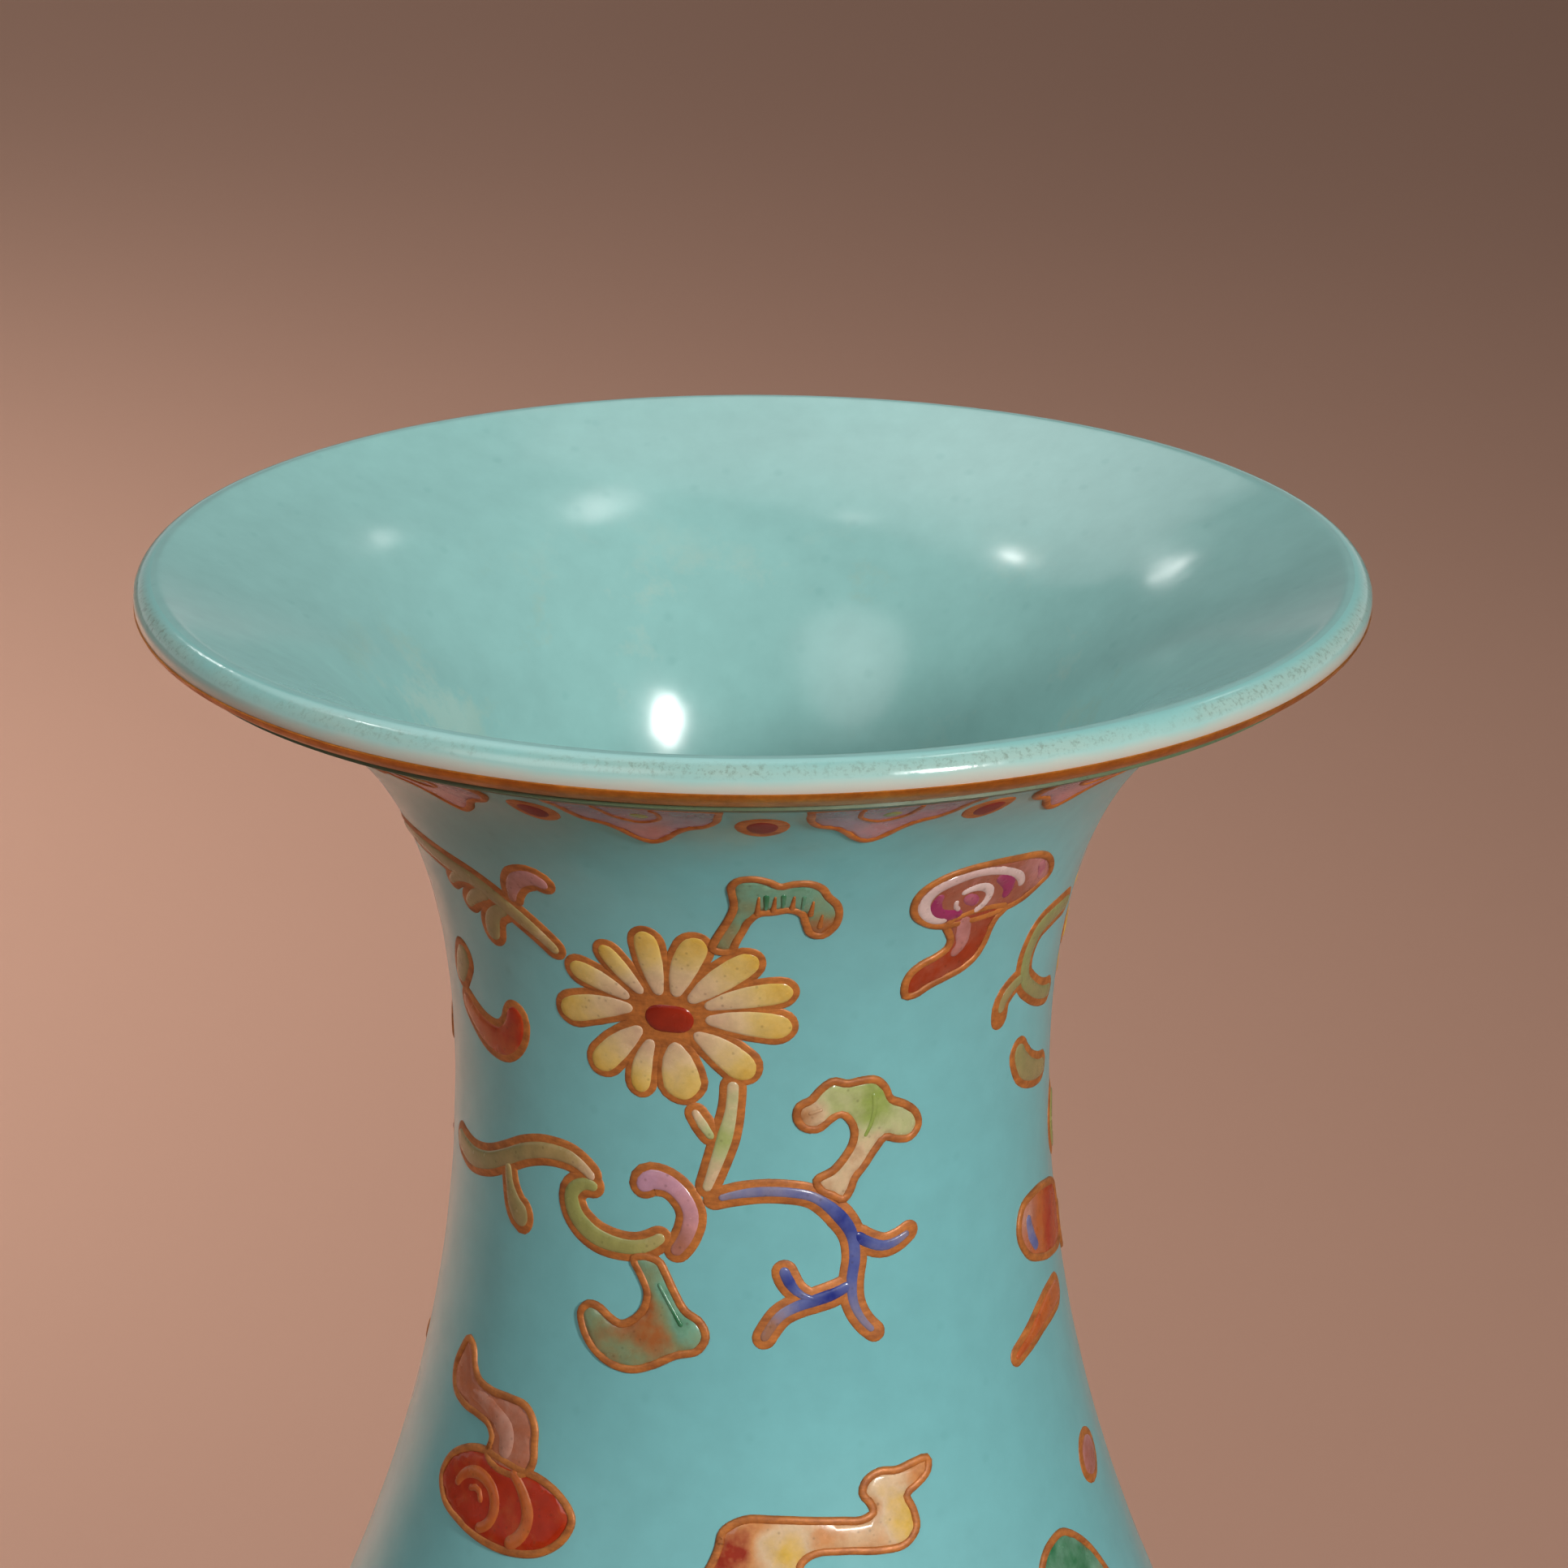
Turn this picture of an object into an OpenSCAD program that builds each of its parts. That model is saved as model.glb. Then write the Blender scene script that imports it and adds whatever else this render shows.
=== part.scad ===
/* [Overall] */
// Height from the foot rim to the top of the lip
height = 246; // [240:1:256]

/* [Mouth] */
// Widest diameter of the flared lip
mouth_d = 86; // [82:1:90]
// Thickness of the rounded lip
lip_t = 3; // [2.6:0.1:3.4]
// Slope of the flare just under the lip, from horizontal
lip_slope = 29; // [26:1:32]
// Curve handle that carries the flare out to the lip
flare_reach = 8; // [6:0.5:10]

/* [Neck] */
// Outer diameter of the neck at its narrowest
neck_d = 42.2; // [40:0.2:46]
// Depth of the narrowest point under the lip
waist_drop = 37; // [34:1:42]
// Curve handle from the narrowest point up into the flare
flare_rise = 28; // [25:1:30]
// Curve handle from the narrowest point down into the shoulder
shoulder_drop = 60; // [55:1:64]
// Wall at the narrowest point
neck_wall = 3.4; // [3:0.1:4]
// Height where the neck is luted to the shoulder
neck_joint_z = 168; // [160:1:176]

/* [Belly] */
// Greatest outer diameter
belly_d = 148; // [140:1:156]
// Height of the greatest diameter, where the two belly sections are luted
belly_z = 81; // [76:1:86]
// Curve handle from the belly up into the shoulder
shoulder_rise = 33; // [30:1:36]
// Curve handle from the belly down to the foot
belly_fall = 38; // [34:1:42]
// Wall at the belly
belly_wall = 4; // [3.6:0.1:5]
// Thickness of a slip joint between two sections
slip_t = 1.2; // [0.8:0.1:1.6]

/* [Foot] */
// Outer diameter of the foot ring
foot_d = 96; // [92:1:102]
// Width of the foot ring where it stands
foot_w = 6; // [5:0.5:8]
// Height where the belly meets the foot
foot_h = 15; // [13:1:18]
// Depth of the recess under the base
recess_h = 8; // [6:0.5:9]
// Height of the inside floor at the axis
floor_z = 14; // [13:0.5:16]
// Bare rim of the foot, left without glaze
bare_h = 2.5; // [2:0.5:3.5]

/* [Glaze, enamel and gold] */
// Thickness of the clear glaze
glaze_t = 0.2; // [0.15:0.05:0.3]
// Thickness of the turquoise ground
enamel_t = 0.3; // [0.2:0.05:0.4]
// Height of the painted enamels above the ground
relief_t = 0.35; // [0.2:0.05:0.5]
// Thickness of the gold
gilt_t = 0.12; // [0.1:0.02:0.2]
// Width of the gold line round the mouth, over the edge of the lip
lip_gilt_w = 2.5; // [2:0.1:2.6]
// Width of the gold line round the foot
foot_gilt_w = 1.6; // [1:0.1:2.4]
// Width of the olive line under the gold of the mouth
olive_w = 1.2; // [0.8:0.1:1.6]

/* [Decoration] */
// Heads and drops in the collar under the lip
collar_count = 13; // [11:1:15]
// Flower sprays round the neck
neck_sprays = 3; // [2:1:3]
// Flower sprays round the belly
belly_sprays = 5; // [4:1:5]
// Panels in the border above the foot
lappet_count = 24; // [20:2:28]

/* [Hidden] */
$fn = 96;
foot_angle = 55;
foot_splay = [1.6, 4];
// Curve handles of the inside floor: down from the belly, and out from the axis
bowl_fall = 50;
bowl_spread = 58;
nose_r = lip_t / 2;
skin_t = glaze_t + enamel_t;
// Steps round the lip, those of them left clear of inside turquoise, and those the gold covers
lip_steps = 14;
lip_open = 3;
gilt_steps = 3;
// The belly repeats the neck spray this much larger, about this height
belly_grow = 2.3;
belly_spray_z = 96;
lappet_z = 30;
// Collar heads and drops: heights, dot radius, and width of their gold outlines
head_z = height - 7;
drop_z = height - 7.6;
dot_r = 1.1;
outline_w = 0.5;
collar_low = height - 14;
collar_high = height - 2;
// Radius of the red heart of a flower
heart_r = 1.3;

// Points that the outer wall runs through
foot_top = [foot_d / 2 + 3, foot_h];
belly = [belly_d / 2, belly_z];
waist = [neck_d / 2, height - waist_drop];
nose = [mouth_d / 2 - nose_r, height - nose_r];
flare_end = nose + nose_r * [sin(lip_slope), -cos(lip_slope)];

function bezier(a, b, c, d, n, first = 1) = [
    for (i = [first:n])
        let (t = i / n, s = 1 - t)
            s * s * s * a + 3 * s * s * t * b + 3 * s * t * t * c + t * t * t * d
];
function reversed(list) = [for (i = [len(list) - 1:-1:0]) list[i]];
function heading(angle) = [cos(angle), sin(angle)];

foot_side = bezier([foot_d / 2, bare_h], [foot_d / 2 - foot_splay[0], bare_h + foot_splay[1]],
    foot_top - 6 * heading(foot_angle), foot_top, 6, 0);
belly_side = bezier(foot_top, foot_top + 26 * heading(foot_angle), belly - [0, belly_fall], belly, 14);
shoulder_side = bezier(belly, belly + [0, shoulder_rise], waist - [0, shoulder_drop], waist, 26);
flare_side = bezier(waist, waist + [0, flare_rise], flare_end - flare_reach * heading(lip_slope),
    flare_end, 14);
outer = concat(foot_side, belly_side, shoulder_side, flare_side);
outer_last = len(outer) - 1;

// The rounded lip, from the underside of the flare over to the inside
lip_arc = [for (i = [1:lip_steps - 1]) nose + nose_r * heading(lip_slope - 90 + 180 * i / lip_steps)];

// The unit vector out of the clay at each point of a path
function out_of(path, i) =
    let (a = path[max(i - 1, 0)], b = path[min(i + 1, len(path) - 1)], d = (b - a) / norm(b - a))
        path[i][0] < 0.01 ? [0, sign(-d[0])] : [d[1], -d[0]];
function shifted(path, by) = [for (i = [0:len(path) - 1]) path[i] + by * out_of(path, i)];

// Inside wall: the outer wall pulled in by a thickness that eases from the lip to the belly
climb = concat(shoulder_side, flare_side);
function wall_at(z) = lookup(z, [
    [belly_z + 60, belly_wall],
    [waist[1], neck_wall],
    [flare_end[1], lip_t]
]);
inside_climb = [for (i = [0:len(climb) - 1]) climb[i] - wall_at(climb[i][1]) * out_of(climb, i)];
inner_belly = belly - [belly_wall, 0];
bowl = bezier(inner_belly, inner_belly - [0, bowl_fall], [bowl_spread, floor_z], [0, floor_z], 18, 0);

// The whole glazed surface, and a stretch of it pushed out of the clay
whole = concat(outer, lip_arc, reversed(inside_climb), bowl);
whole_last = len(whole) - 1;
function stretch(first, last, by) = [for (i = [first:last]) whole[i] + by * out_of(whole, i)];
inside_first = outer_last + lip_steps - lip_open;

// Underside of the base, from the axis out to the inner edge of the foot ring
foot_inner_r = foot_d / 2 - foot_w;
base = concat(
    bezier([0, recess_h], [20, recess_h], [foot_inner_r - 8, recess_h], [foot_inner_r - 2.5, recess_h - 1.6], 6, 0),
    [[foot_inner_r - 1.2, recess_h - 3], [foot_inner_r - 0.5, bare_h + 0.8], [foot_inner_r - 0.2, bare_h]]
);
rim = [
    [foot_inner_r + 0.3, 0.6],
    [foot_inner_r + 0.9, 0],
    [foot_d / 2 - 1.6, 0],
    [foot_d / 2 - 0.8, 0.5]
];

module ring(outline, back) {
    rotate_extrude() polygon(concat(outline, reversed(back)));
}
module clay_between(low, high) {
    rotate_extrude() intersection() {
        polygon(concat(shifted(base, -skin_t), rim, stretch(0, whole_last, -skin_t)));
        translate([0, low]) square([belly_d, high - low]);
    }
}

// Clay sections, and the slip that joins them
module lower_body() {
    color("oldlace") clay_between(-1, belly_z - slip_t / 2);
}
module belly_joint() {
    color("wheat") clay_between(belly_z - slip_t / 2, belly_z + slip_t / 2);
}
module upper_body() {
    color("oldlace") clay_between(belly_z + slip_t / 2, neck_joint_z - slip_t / 2);
}
module neck_joint() {
    color("wheat") clay_between(neck_joint_z - slip_t / 2, neck_joint_z + slip_t / 2);
}
module neck_and_mouth() {
    color("oldlace") clay_between(neck_joint_z + slip_t / 2, height + 1);
}

// Clear glaze. It reaches the surface along the lip, where the turquoise has run off the edge
module glaze() {
    cover = concat(
        stretch(0, outer_last, -enamel_t),
        stretch(outer_last, inside_first, 0),
        stretch(inside_first, whole_last, -enamel_t)
    );
    color("ivory") ring(cover, stretch(0, whole_last, -skin_t));
}
module base_glaze() {
    color("ivory") ring(shifted(base, -enamel_t), shifted(base, -skin_t));
}

// Turquoise ground enamel
module outer_enamel() {
    color("mediumturquoise") ring(stretch(0, outer_last, 0), stretch(0, outer_last, -enamel_t));
}
module inner_enamel() {
    color("mediumturquoise")
        ring(stretch(inside_first, whole_last, 0), stretch(inside_first, whole_last, -enamel_t));
}
module base_enamel() {
    color("mediumturquoise") ring(base, shifted(base, -enamel_t));
}

// Gold lines. The one round the mouth ends on the last straight of the flare
function toward(a, b, length) = a + length * (b - a) / norm(b - a);
flare_bend = outer[outer_last - 1];
gilt_round = gilt_steps * PI / lip_steps * nose_r;
gilt_end = toward(flare_end, flare_bend, min(lip_gilt_w - gilt_round, norm(flare_bend - flare_end) - 0.1));
module lip_gilding() {
    line = concat([gilt_end], [for (i = [outer_last:outer_last + gilt_steps]) whole[i]]);
    color("peru") ring(shifted(line, gilt_t), line);
}
module foot_gilding() {
    line = [outer[0], toward(outer[0], outer[1], foot_gilt_w)];
    color("peru") ring(shifted(line, gilt_t), line);
}

// The olive line runs down from the gold of the mouth
module olive_line() {
    low_end = toward(flare_bend, outer[outer_last - 2], olive_w - norm(gilt_end - flare_bend));
    line = [low_end, flare_bend, gilt_end];
    color("olivedrab") ring(shifted(line, relief_t), line);
}

// A frame on the outer surface: x runs round the pot, y up its side, z out of it
function radius_at(z) = lookup(z, [for (p = outer) [p[1], p[0]]]);
function tilt_at(z) = atan2(radius_at(z - 1) - radius_at(z + 1), 2);
module on_side(angle, z) {
    rotate([0, 0, angle]) translate([0, -radius_at(z), z]) rotate([90 - tilt_at(z), 0, 0]) children();
}
// The painted enamel between two heights that lies inside the motifs
module painted(low, high) {
    near = [for (i = [0:outer_last]) if (outer[i][1] > low && outer[i][1] < high) i];
    a = near[0];
    b = near[len(near) - 1];
    intersection() {
        ring(stretch(a, b, relief_t), stretch(a, b, 0));
        children();
    }
}

// Collar of hanging heads and drops under the lip
module collar(offset, z) {
    for (i = [0:collar_count - 1]) on_side((i + offset) * 360 / collar_count, z)
        translate([0, 0, -2]) linear_extrude(4) children();
}
module head_shape(grow = 0) {
    translate([-2.7, 0]) circle(2.6 + grow);
    translate([2.7, 0]) circle(2.6 + grow);
    polygon([
        [-2.6 - grow, 3.4 + grow],
        [-3.6 - grow, -1.8 - grow / 2],
        [0, -5.4 - 1.4 * grow],
        [3.6 + grow, -1.8 - grow / 2],
        [2.6 + grow, 3.4 + grow]
    ]);
}
// A pointed drop along +y, its point at the origin
function drop(length, width) = [
    for (a = [0:24:336]) [width / 1.54 * sin(a) * sin(a / 2), length * (1 - cos(a)) / 2]
];
module drop_shape(grow = 0) {
    translate([0, 2.2 + 2 * grow]) mirror([0, 1]) polygon(drop(4.4 + 3 * grow, 2.4 + 2 * grow));
}
module collar_heads() {
    color("palevioletred") painted(collar_low, collar_high) collar(0.5, head_z) difference() {
        head_shape();
        translate([0, 1]) circle(dot_r);
    }
}
module collar_dots() {
    color("yellowgreen") painted(collar_low, collar_high) collar(0.5, head_z) translate([0, 1]) circle(dot_r);
}
module collar_drops() {
    color("firebrick") painted(collar_low, collar_high) collar(0, drop_z) drop_shape();
}
module collar_outlines() {
    color("peru") painted(collar_low, collar_high) {
        collar(0.5, head_z) difference() {
            head_shape(outline_w);
            head_shape();
        }
        collar(0, drop_z) difference() {
            drop_shape(outline_w);
            drop_shape();
        }
    }
}

// The spray is laid out in millimetres on the neck, round and up from the middle of its waist,
// and the belly repeats it larger
neck_turn = 360 / (PI * neck_d);
belly_turn = 360 / (PI * belly_d);
module on_neck(u, v, turn = 0) {
    painted(waist[1] - 36, waist[1] + 25)
        for (k = [0:neck_sprays - 1]) on_side(k * 360 / neck_sprays + u * neck_turn, waist[1] + v)
            rotate([0, 0, turn]) translate([0, 0, -4]) linear_extrude(8) children();
}
module on_belly(u, v, turn = 0) {
    painted(belly_spray_z - 50, belly_spray_z + 84)
        for (k = [0:belly_sprays - 1])
            on_side((k + 0.5) * 360 / belly_sprays + u * belly_grow * belly_turn, belly_spray_z + v * belly_grow)
                rotate([0, 0, turn]) translate([0, 0, -6]) linear_extrude(12) scale(belly_grow) children();
}
module on_both(u, v, turn = 0) {
    on_neck(u, v, turn) children();
    on_belly(u, v, turn) children();
}

// A band that follows an arc and tapers to a point at each end
module horn(r, from, to, width, n = 8) {
    side = [for (i = [0:n]) width / 2 * sin(180 * i / n)];
    way = [for (i = [0:n]) heading(from + (to - from) * i / n)];
    polygon(concat([for (i = [0:n]) (r + side[i]) * way[i]], [for (i = [n - 1:-1:1]) (r - side[i]) * way[i]]));
}
// A cloud of three puffs with a tail that curls away under them
module cloud() {
    translate([-3, 0]) circle(2);
    translate([0, 0.7]) circle(2.3);
    translate([3, 0.1]) circle(2);
    translate([-1.5, -4.4]) horn(3.4, 100, -40, 2.2);
}

// A chrysanthemum, wider than it is tall
flower = [-5.35, 11.8];
module flower_petals() {
    color("khaki") on_both(flower[0], flower[1])
        for (a = [8:30:338]) rotate(a) translate([0, 2]) polygon(drop(4.9 + 1.4 * abs(sin(a)), 2.4));
}
module flower_hearts() {
    color("firebrick") on_both(flower[0], flower[1]) circle(heart_r);
}
module flower_rings() {
    color("peru") on_both(flower[0], flower[1]) difference() {
        circle(heart_r + outline_w);
        circle(heart_r);
    }
}
module green_leaves() {
    color("darkseagreen") {
        on_both(2.2, 20.6, 20) horn(2.2, -40, 190, 2.6);
        on_both(8, 2) horn(3, -120, 150, 2.8);
        on_both(-8.6, -10.6) horn(3.2, 160, 350, 2.8);
    }
}
module blue_leaves() {
    color("steelblue") {
        on_both(1.5, -7.6) horn(5.6, 115, 5, 2.6);
        on_both(4, -13.6) horn(3.6, 35, 165, 2.2);
        on_both(10.4, -8.6) horn(2.4, 175, 15, 2);
    }
}
module vines() {
    color("olivedrab") {
        on_both(-18.6, -9.6) horn(8.6, 50, 140, 1.3);
        on_both(-20.4, 9.6) horn(10, 62, 118, 1.3);
        on_both(-3.6, 3) horn(4.2, -60, 40, 1.2);
    }
}
module pink_curls() {
    color("plum") {
        on_both(-6.2, -2.6) horn(1.8, -30, 230, 1.5);
        on_both(-21, 8.6) horn(2.6, 190, 400, 1.5);
    }
}
module yellow_scrolls() {
    color("darkkhaki") on_both(-11, -3.4) horn(2.6, 150, 320, 1.7);
}
module pink_clouds() {
    color("palevioletred") on_both(15, 20.4) cloud();
}
module red_clouds() {
    color("indianred") {
        on_neck(-16.6, -26.6, 180) mirror([1, 0]) cloud();
        on_belly(-6, 29) cloud();
    }
}

// Border of pointed panels above the foot
module lappets() {
    color("cornflowerblue") painted(lappet_z - 12, lappet_z + 14)
        for (i = [0:lappet_count - 1]) on_side(i * 360 / lappet_count, lappet_z)
            translate([0, 0, -3]) linear_extrude(6) translate([0, 11]) mirror([0, 1]) polygon(drop(20, 11.5));
}

lower_body();
belly_joint();
upper_body();
neck_joint();
neck_and_mouth();
glaze();
base_glaze();
outer_enamel();
inner_enamel();
base_enamel();
lip_gilding();
foot_gilding();
olive_line();
collar_outlines();
collar_heads();
collar_dots();
collar_drops();
flower_petals();
flower_hearts();
flower_rings();
green_leaves();
blue_leaves();
vines();
pink_curls();
yellow_scrolls();
pink_clouds();
red_clouds();
lappets();
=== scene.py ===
import math

import bpy
import numpy as np
from mathutils import Matrix, Vector
from mathutils.geometry import delaunay_2d_cdt


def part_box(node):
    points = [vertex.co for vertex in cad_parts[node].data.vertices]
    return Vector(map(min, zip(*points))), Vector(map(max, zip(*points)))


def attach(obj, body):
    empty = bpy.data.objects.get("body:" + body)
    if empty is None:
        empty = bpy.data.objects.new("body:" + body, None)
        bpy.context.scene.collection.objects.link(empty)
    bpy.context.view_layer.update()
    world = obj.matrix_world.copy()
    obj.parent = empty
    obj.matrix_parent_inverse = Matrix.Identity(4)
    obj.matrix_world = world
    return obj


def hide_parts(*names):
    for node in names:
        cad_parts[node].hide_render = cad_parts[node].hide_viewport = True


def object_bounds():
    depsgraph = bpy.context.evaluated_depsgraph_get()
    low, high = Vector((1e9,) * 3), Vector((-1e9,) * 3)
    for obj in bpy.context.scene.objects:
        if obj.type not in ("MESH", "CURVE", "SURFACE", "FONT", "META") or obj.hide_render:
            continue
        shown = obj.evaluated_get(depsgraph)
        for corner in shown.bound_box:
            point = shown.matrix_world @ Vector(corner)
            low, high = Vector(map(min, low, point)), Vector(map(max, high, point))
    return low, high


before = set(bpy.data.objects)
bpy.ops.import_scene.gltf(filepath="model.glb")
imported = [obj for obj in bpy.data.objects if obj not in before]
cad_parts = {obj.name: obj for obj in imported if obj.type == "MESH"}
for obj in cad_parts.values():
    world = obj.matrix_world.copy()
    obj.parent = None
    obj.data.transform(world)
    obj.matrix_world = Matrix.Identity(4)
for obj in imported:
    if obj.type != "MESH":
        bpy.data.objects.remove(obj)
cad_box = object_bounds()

MM = 0.001
TOP = cad_box[1][2]
FULL_TURN = 2 * math.pi
AROUND = 192          # segments round a turned skin
CORNER = math.radians(40)
ON_AXIS = 1e-5        # a point nearer to the axis than this is on it, m
SAME = 3e-5           # two corners nearer to each other than this are one, m
LONG_RUN = 60         # a run with more points than this is faired
# Painting, mm
OUTLINE = 0.5         # width of the gilt line round a stroke
CONTOUR = 0.62        # width of the gilt line round a plate
GILT_RISE = 0.10      # heights above the turquoise
COLOUR_RISE = 0.19
PLATE_RISE = 0.16
CONTOUR_RISE = 0.21
DETAIL_RISE = 0.25
SINK = 0.10           # how far painting reaches into the ground
STROKE_STEP = 0.34    # between the cross-sections of a stroke
PLATE_PITCH = 0.55    # between the inner points of a plate
PLATE_GAP = 0.24      # least room between those and its edge
PLATE_EDGE = 0.7      # how far in from its edge a plate rises
# Where the motifs go
NECK_SPRAYS = (0.0, FULL_TURN / 3, FULL_TURN * 2 / 3 - 0.07)
BELLY_SPRAYS, BELLY_SPRAY_Z, BELLY_CLOUD_Z = 5, 96, 150
BELLY_GROW, BELLY_CLOUD_GROW, BELLY_RADIUS = 2.3, 1.7, 66.0
COLLAR_HEADS, COLLAR_V, COLLAR_TURN = 13, 35.0, 0.024
LAPPETS, LAPPET_Z = 24, 30
TURQUOISE = (118, 184, 187)


def lin(r, g, b):
    """A display colour, 0 to 255, as the linear one that a shader takes."""
    return tuple(((c / 255 + 0.055) / 1.055) ** 2.4 for c in (r, g, b)) + (1.0,)


# ---------------------------------------------------------------- turned skins

def section(node):
    """The corners of a CAD node's section, (radius, height) in order, and whether they form a closed loop."""
    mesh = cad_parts[node].data
    co = np.array([v.co for v in mesh.vertices], float)
    rz = np.round(np.c_[np.hypot(co[:, 0], co[:, 1]), co[:, 2]], 7)
    found, back = np.unique(rz, axis=0, return_inverse=True)
    back = back.reshape(-1)
    corners, which = [], np.zeros(len(found), int)
    for i, p in enumerate(found):
        near = [k for k, q in enumerate(corners) if abs(q[0] - p[0]) + abs(q[1] - p[1]) < SAME]
        if not near:
            corners.append(p)
        which[i] = near[0] if near else len(corners) - 1
    links = {k: set() for k in range(len(corners))}
    for e in mesh.edges:
        a, b = (int(which[back[v]]) for v in e.vertices)
        if a != b:
            links[a].add(b)
            links[b].add(a)
    ends = [k for k in links if len(links[k]) == 1]
    order = [ends[0] if ends else 0]
    while True:
        ahead = [k for k in sorted(links[order[-1]]) if k not in order]
        if not ahead:
            break
        order.append(ahead[0])
    return np.array([corners[k] for k in order]), not ends


def runs_of(points, closed):
    """A section cut at its sharp corners, as a list of runs that share their end points."""
    n = len(points)
    sharp = []
    for i in range(n):
        if not closed and i in (0, n - 1):
            sharp.append(i)
            continue
        a, b, c = points[i - 1], points[i], points[(i + 1) % n]
        turn = math.atan2((b - a)[1], (b - a)[0]) - math.atan2((c - b)[1], (c - b)[0])
        if abs((turn + math.pi) % (2 * math.pi) - math.pi) > CORNER:
            sharp.append(i)
    if not closed:
        return [points[a:b + 1] for a, b in zip(sharp, sharp[1:])]
    looped = sharp + [sharp[0] + n]
    return [points[[k % n for k in range(a, b + 1)]] for a, b in zip(looped, looped[1:])]


def eased(points, steps):
    """A smooth curve through points, with this many steps between each two."""
    p = np.array(points, float)
    if len(p) < 3:
        t = np.linspace(0, 1, steps + 1)[:, None]
        return p[0] + (p[-1] - p[0]) * t
    d = np.maximum(np.linalg.norm(np.diff(p, axis=0), axis=1), 1e-9)[:, None]
    slope = np.diff(p, axis=0) / d
    tangent = np.zeros_like(p)
    tangent[1:-1] = (slope[:-1] * d[1:] + slope[1:] * d[:-1]) / (d[:-1] + d[1:])
    tangent[0] = 2 * slope[0] - tangent[1]
    tangent[-1] = 2 * slope[-1] - tangent[-2]
    out = [p[:1]]
    for i in range(len(p) - 1):
        t = np.linspace(0, 1, steps + 1)[1:, None]
        a, b = tangent[i] * d[i], tangent[i + 1] * d[i]
        out.append((2 * t**3 - 3 * t**2 + 1) * p[i] + (t**3 - 2 * t**2 + t) * a
                   + (3 * t**2 - 2 * t**3) * p[i + 1] + (t**3 - t**2) * b)
    return np.concatenate(out)


def faired(curve, rounds=30):
    """A curve without its small wobbles, so that reflections run on. Its broad shape and ends stay."""
    curve = curve.copy()
    for share in (0.5, -0.52) * rounds:
        curve[1:-1] += share * ((curve[:-2] + curve[2:]) / 2 - curve[1:-1])
    return curve


def eased_run(run, steps):
    """As eased(), but level where the run meets the axis."""
    head = [run[1] * [-1, 1]] if run[0][0] < ON_AXIS else []
    tail = [run[-2] * [-1, 1]] if run[-1][0] < ON_AXIS else []
    curve = eased(np.array(head + list(run) + tail), steps)
    curve = curve[steps * len(head):len(curve) - steps * len(tail)]
    if len(curve) > LONG_RUN:
        curve = faired(curve)
    return np.maximum(curve, 0)


def mesh_object(name, verts, faces, tones=None, sharp=None):
    """A smooth-shaded mesh. Its rings of AROUND points that are marked sharp get a sharp edge."""
    mesh = bpy.data.meshes.new(name)
    mesh.from_pydata([tuple(v) for v in verts], [], faces)
    mesh.update()
    mesh.shade_smooth()
    if tones is not None:
        mesh.attributes.new("tone", "FLOAT", "POINT").data.foreach_set("value", np.array(tones, np.float32))
    if sharp is not None:
        ends = np.zeros(len(mesh.edges) * 2, np.int32)
        mesh.edges.foreach_get("vertices", ends)
        ends = ends.reshape(-1, 2)
        ring = np.arange(len(verts)) // AROUND
        flags = sharp[ends].all(1) & (ring[ends[:, 0]] == ring[ends[:, 1]])
        mesh.attributes.new("sharp_edge", "BOOLEAN", "EDGE").data.foreach_set("value", flags)
    obj = bpy.data.objects.new(name, mesh)
    bpy.context.scene.collection.objects.link(obj)
    return obj


def finished(obj, slot, material, *nodes):
    """Gives a piece its material, hangs it on the root body and hides the CAD nodes that it stands for. The
    slot is not used.
    """
    obj.data.materials.clear()
    obj.data.materials.append(material)
    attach(obj, "root")
    if nodes:
        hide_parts(*nodes)
    return obj


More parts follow.
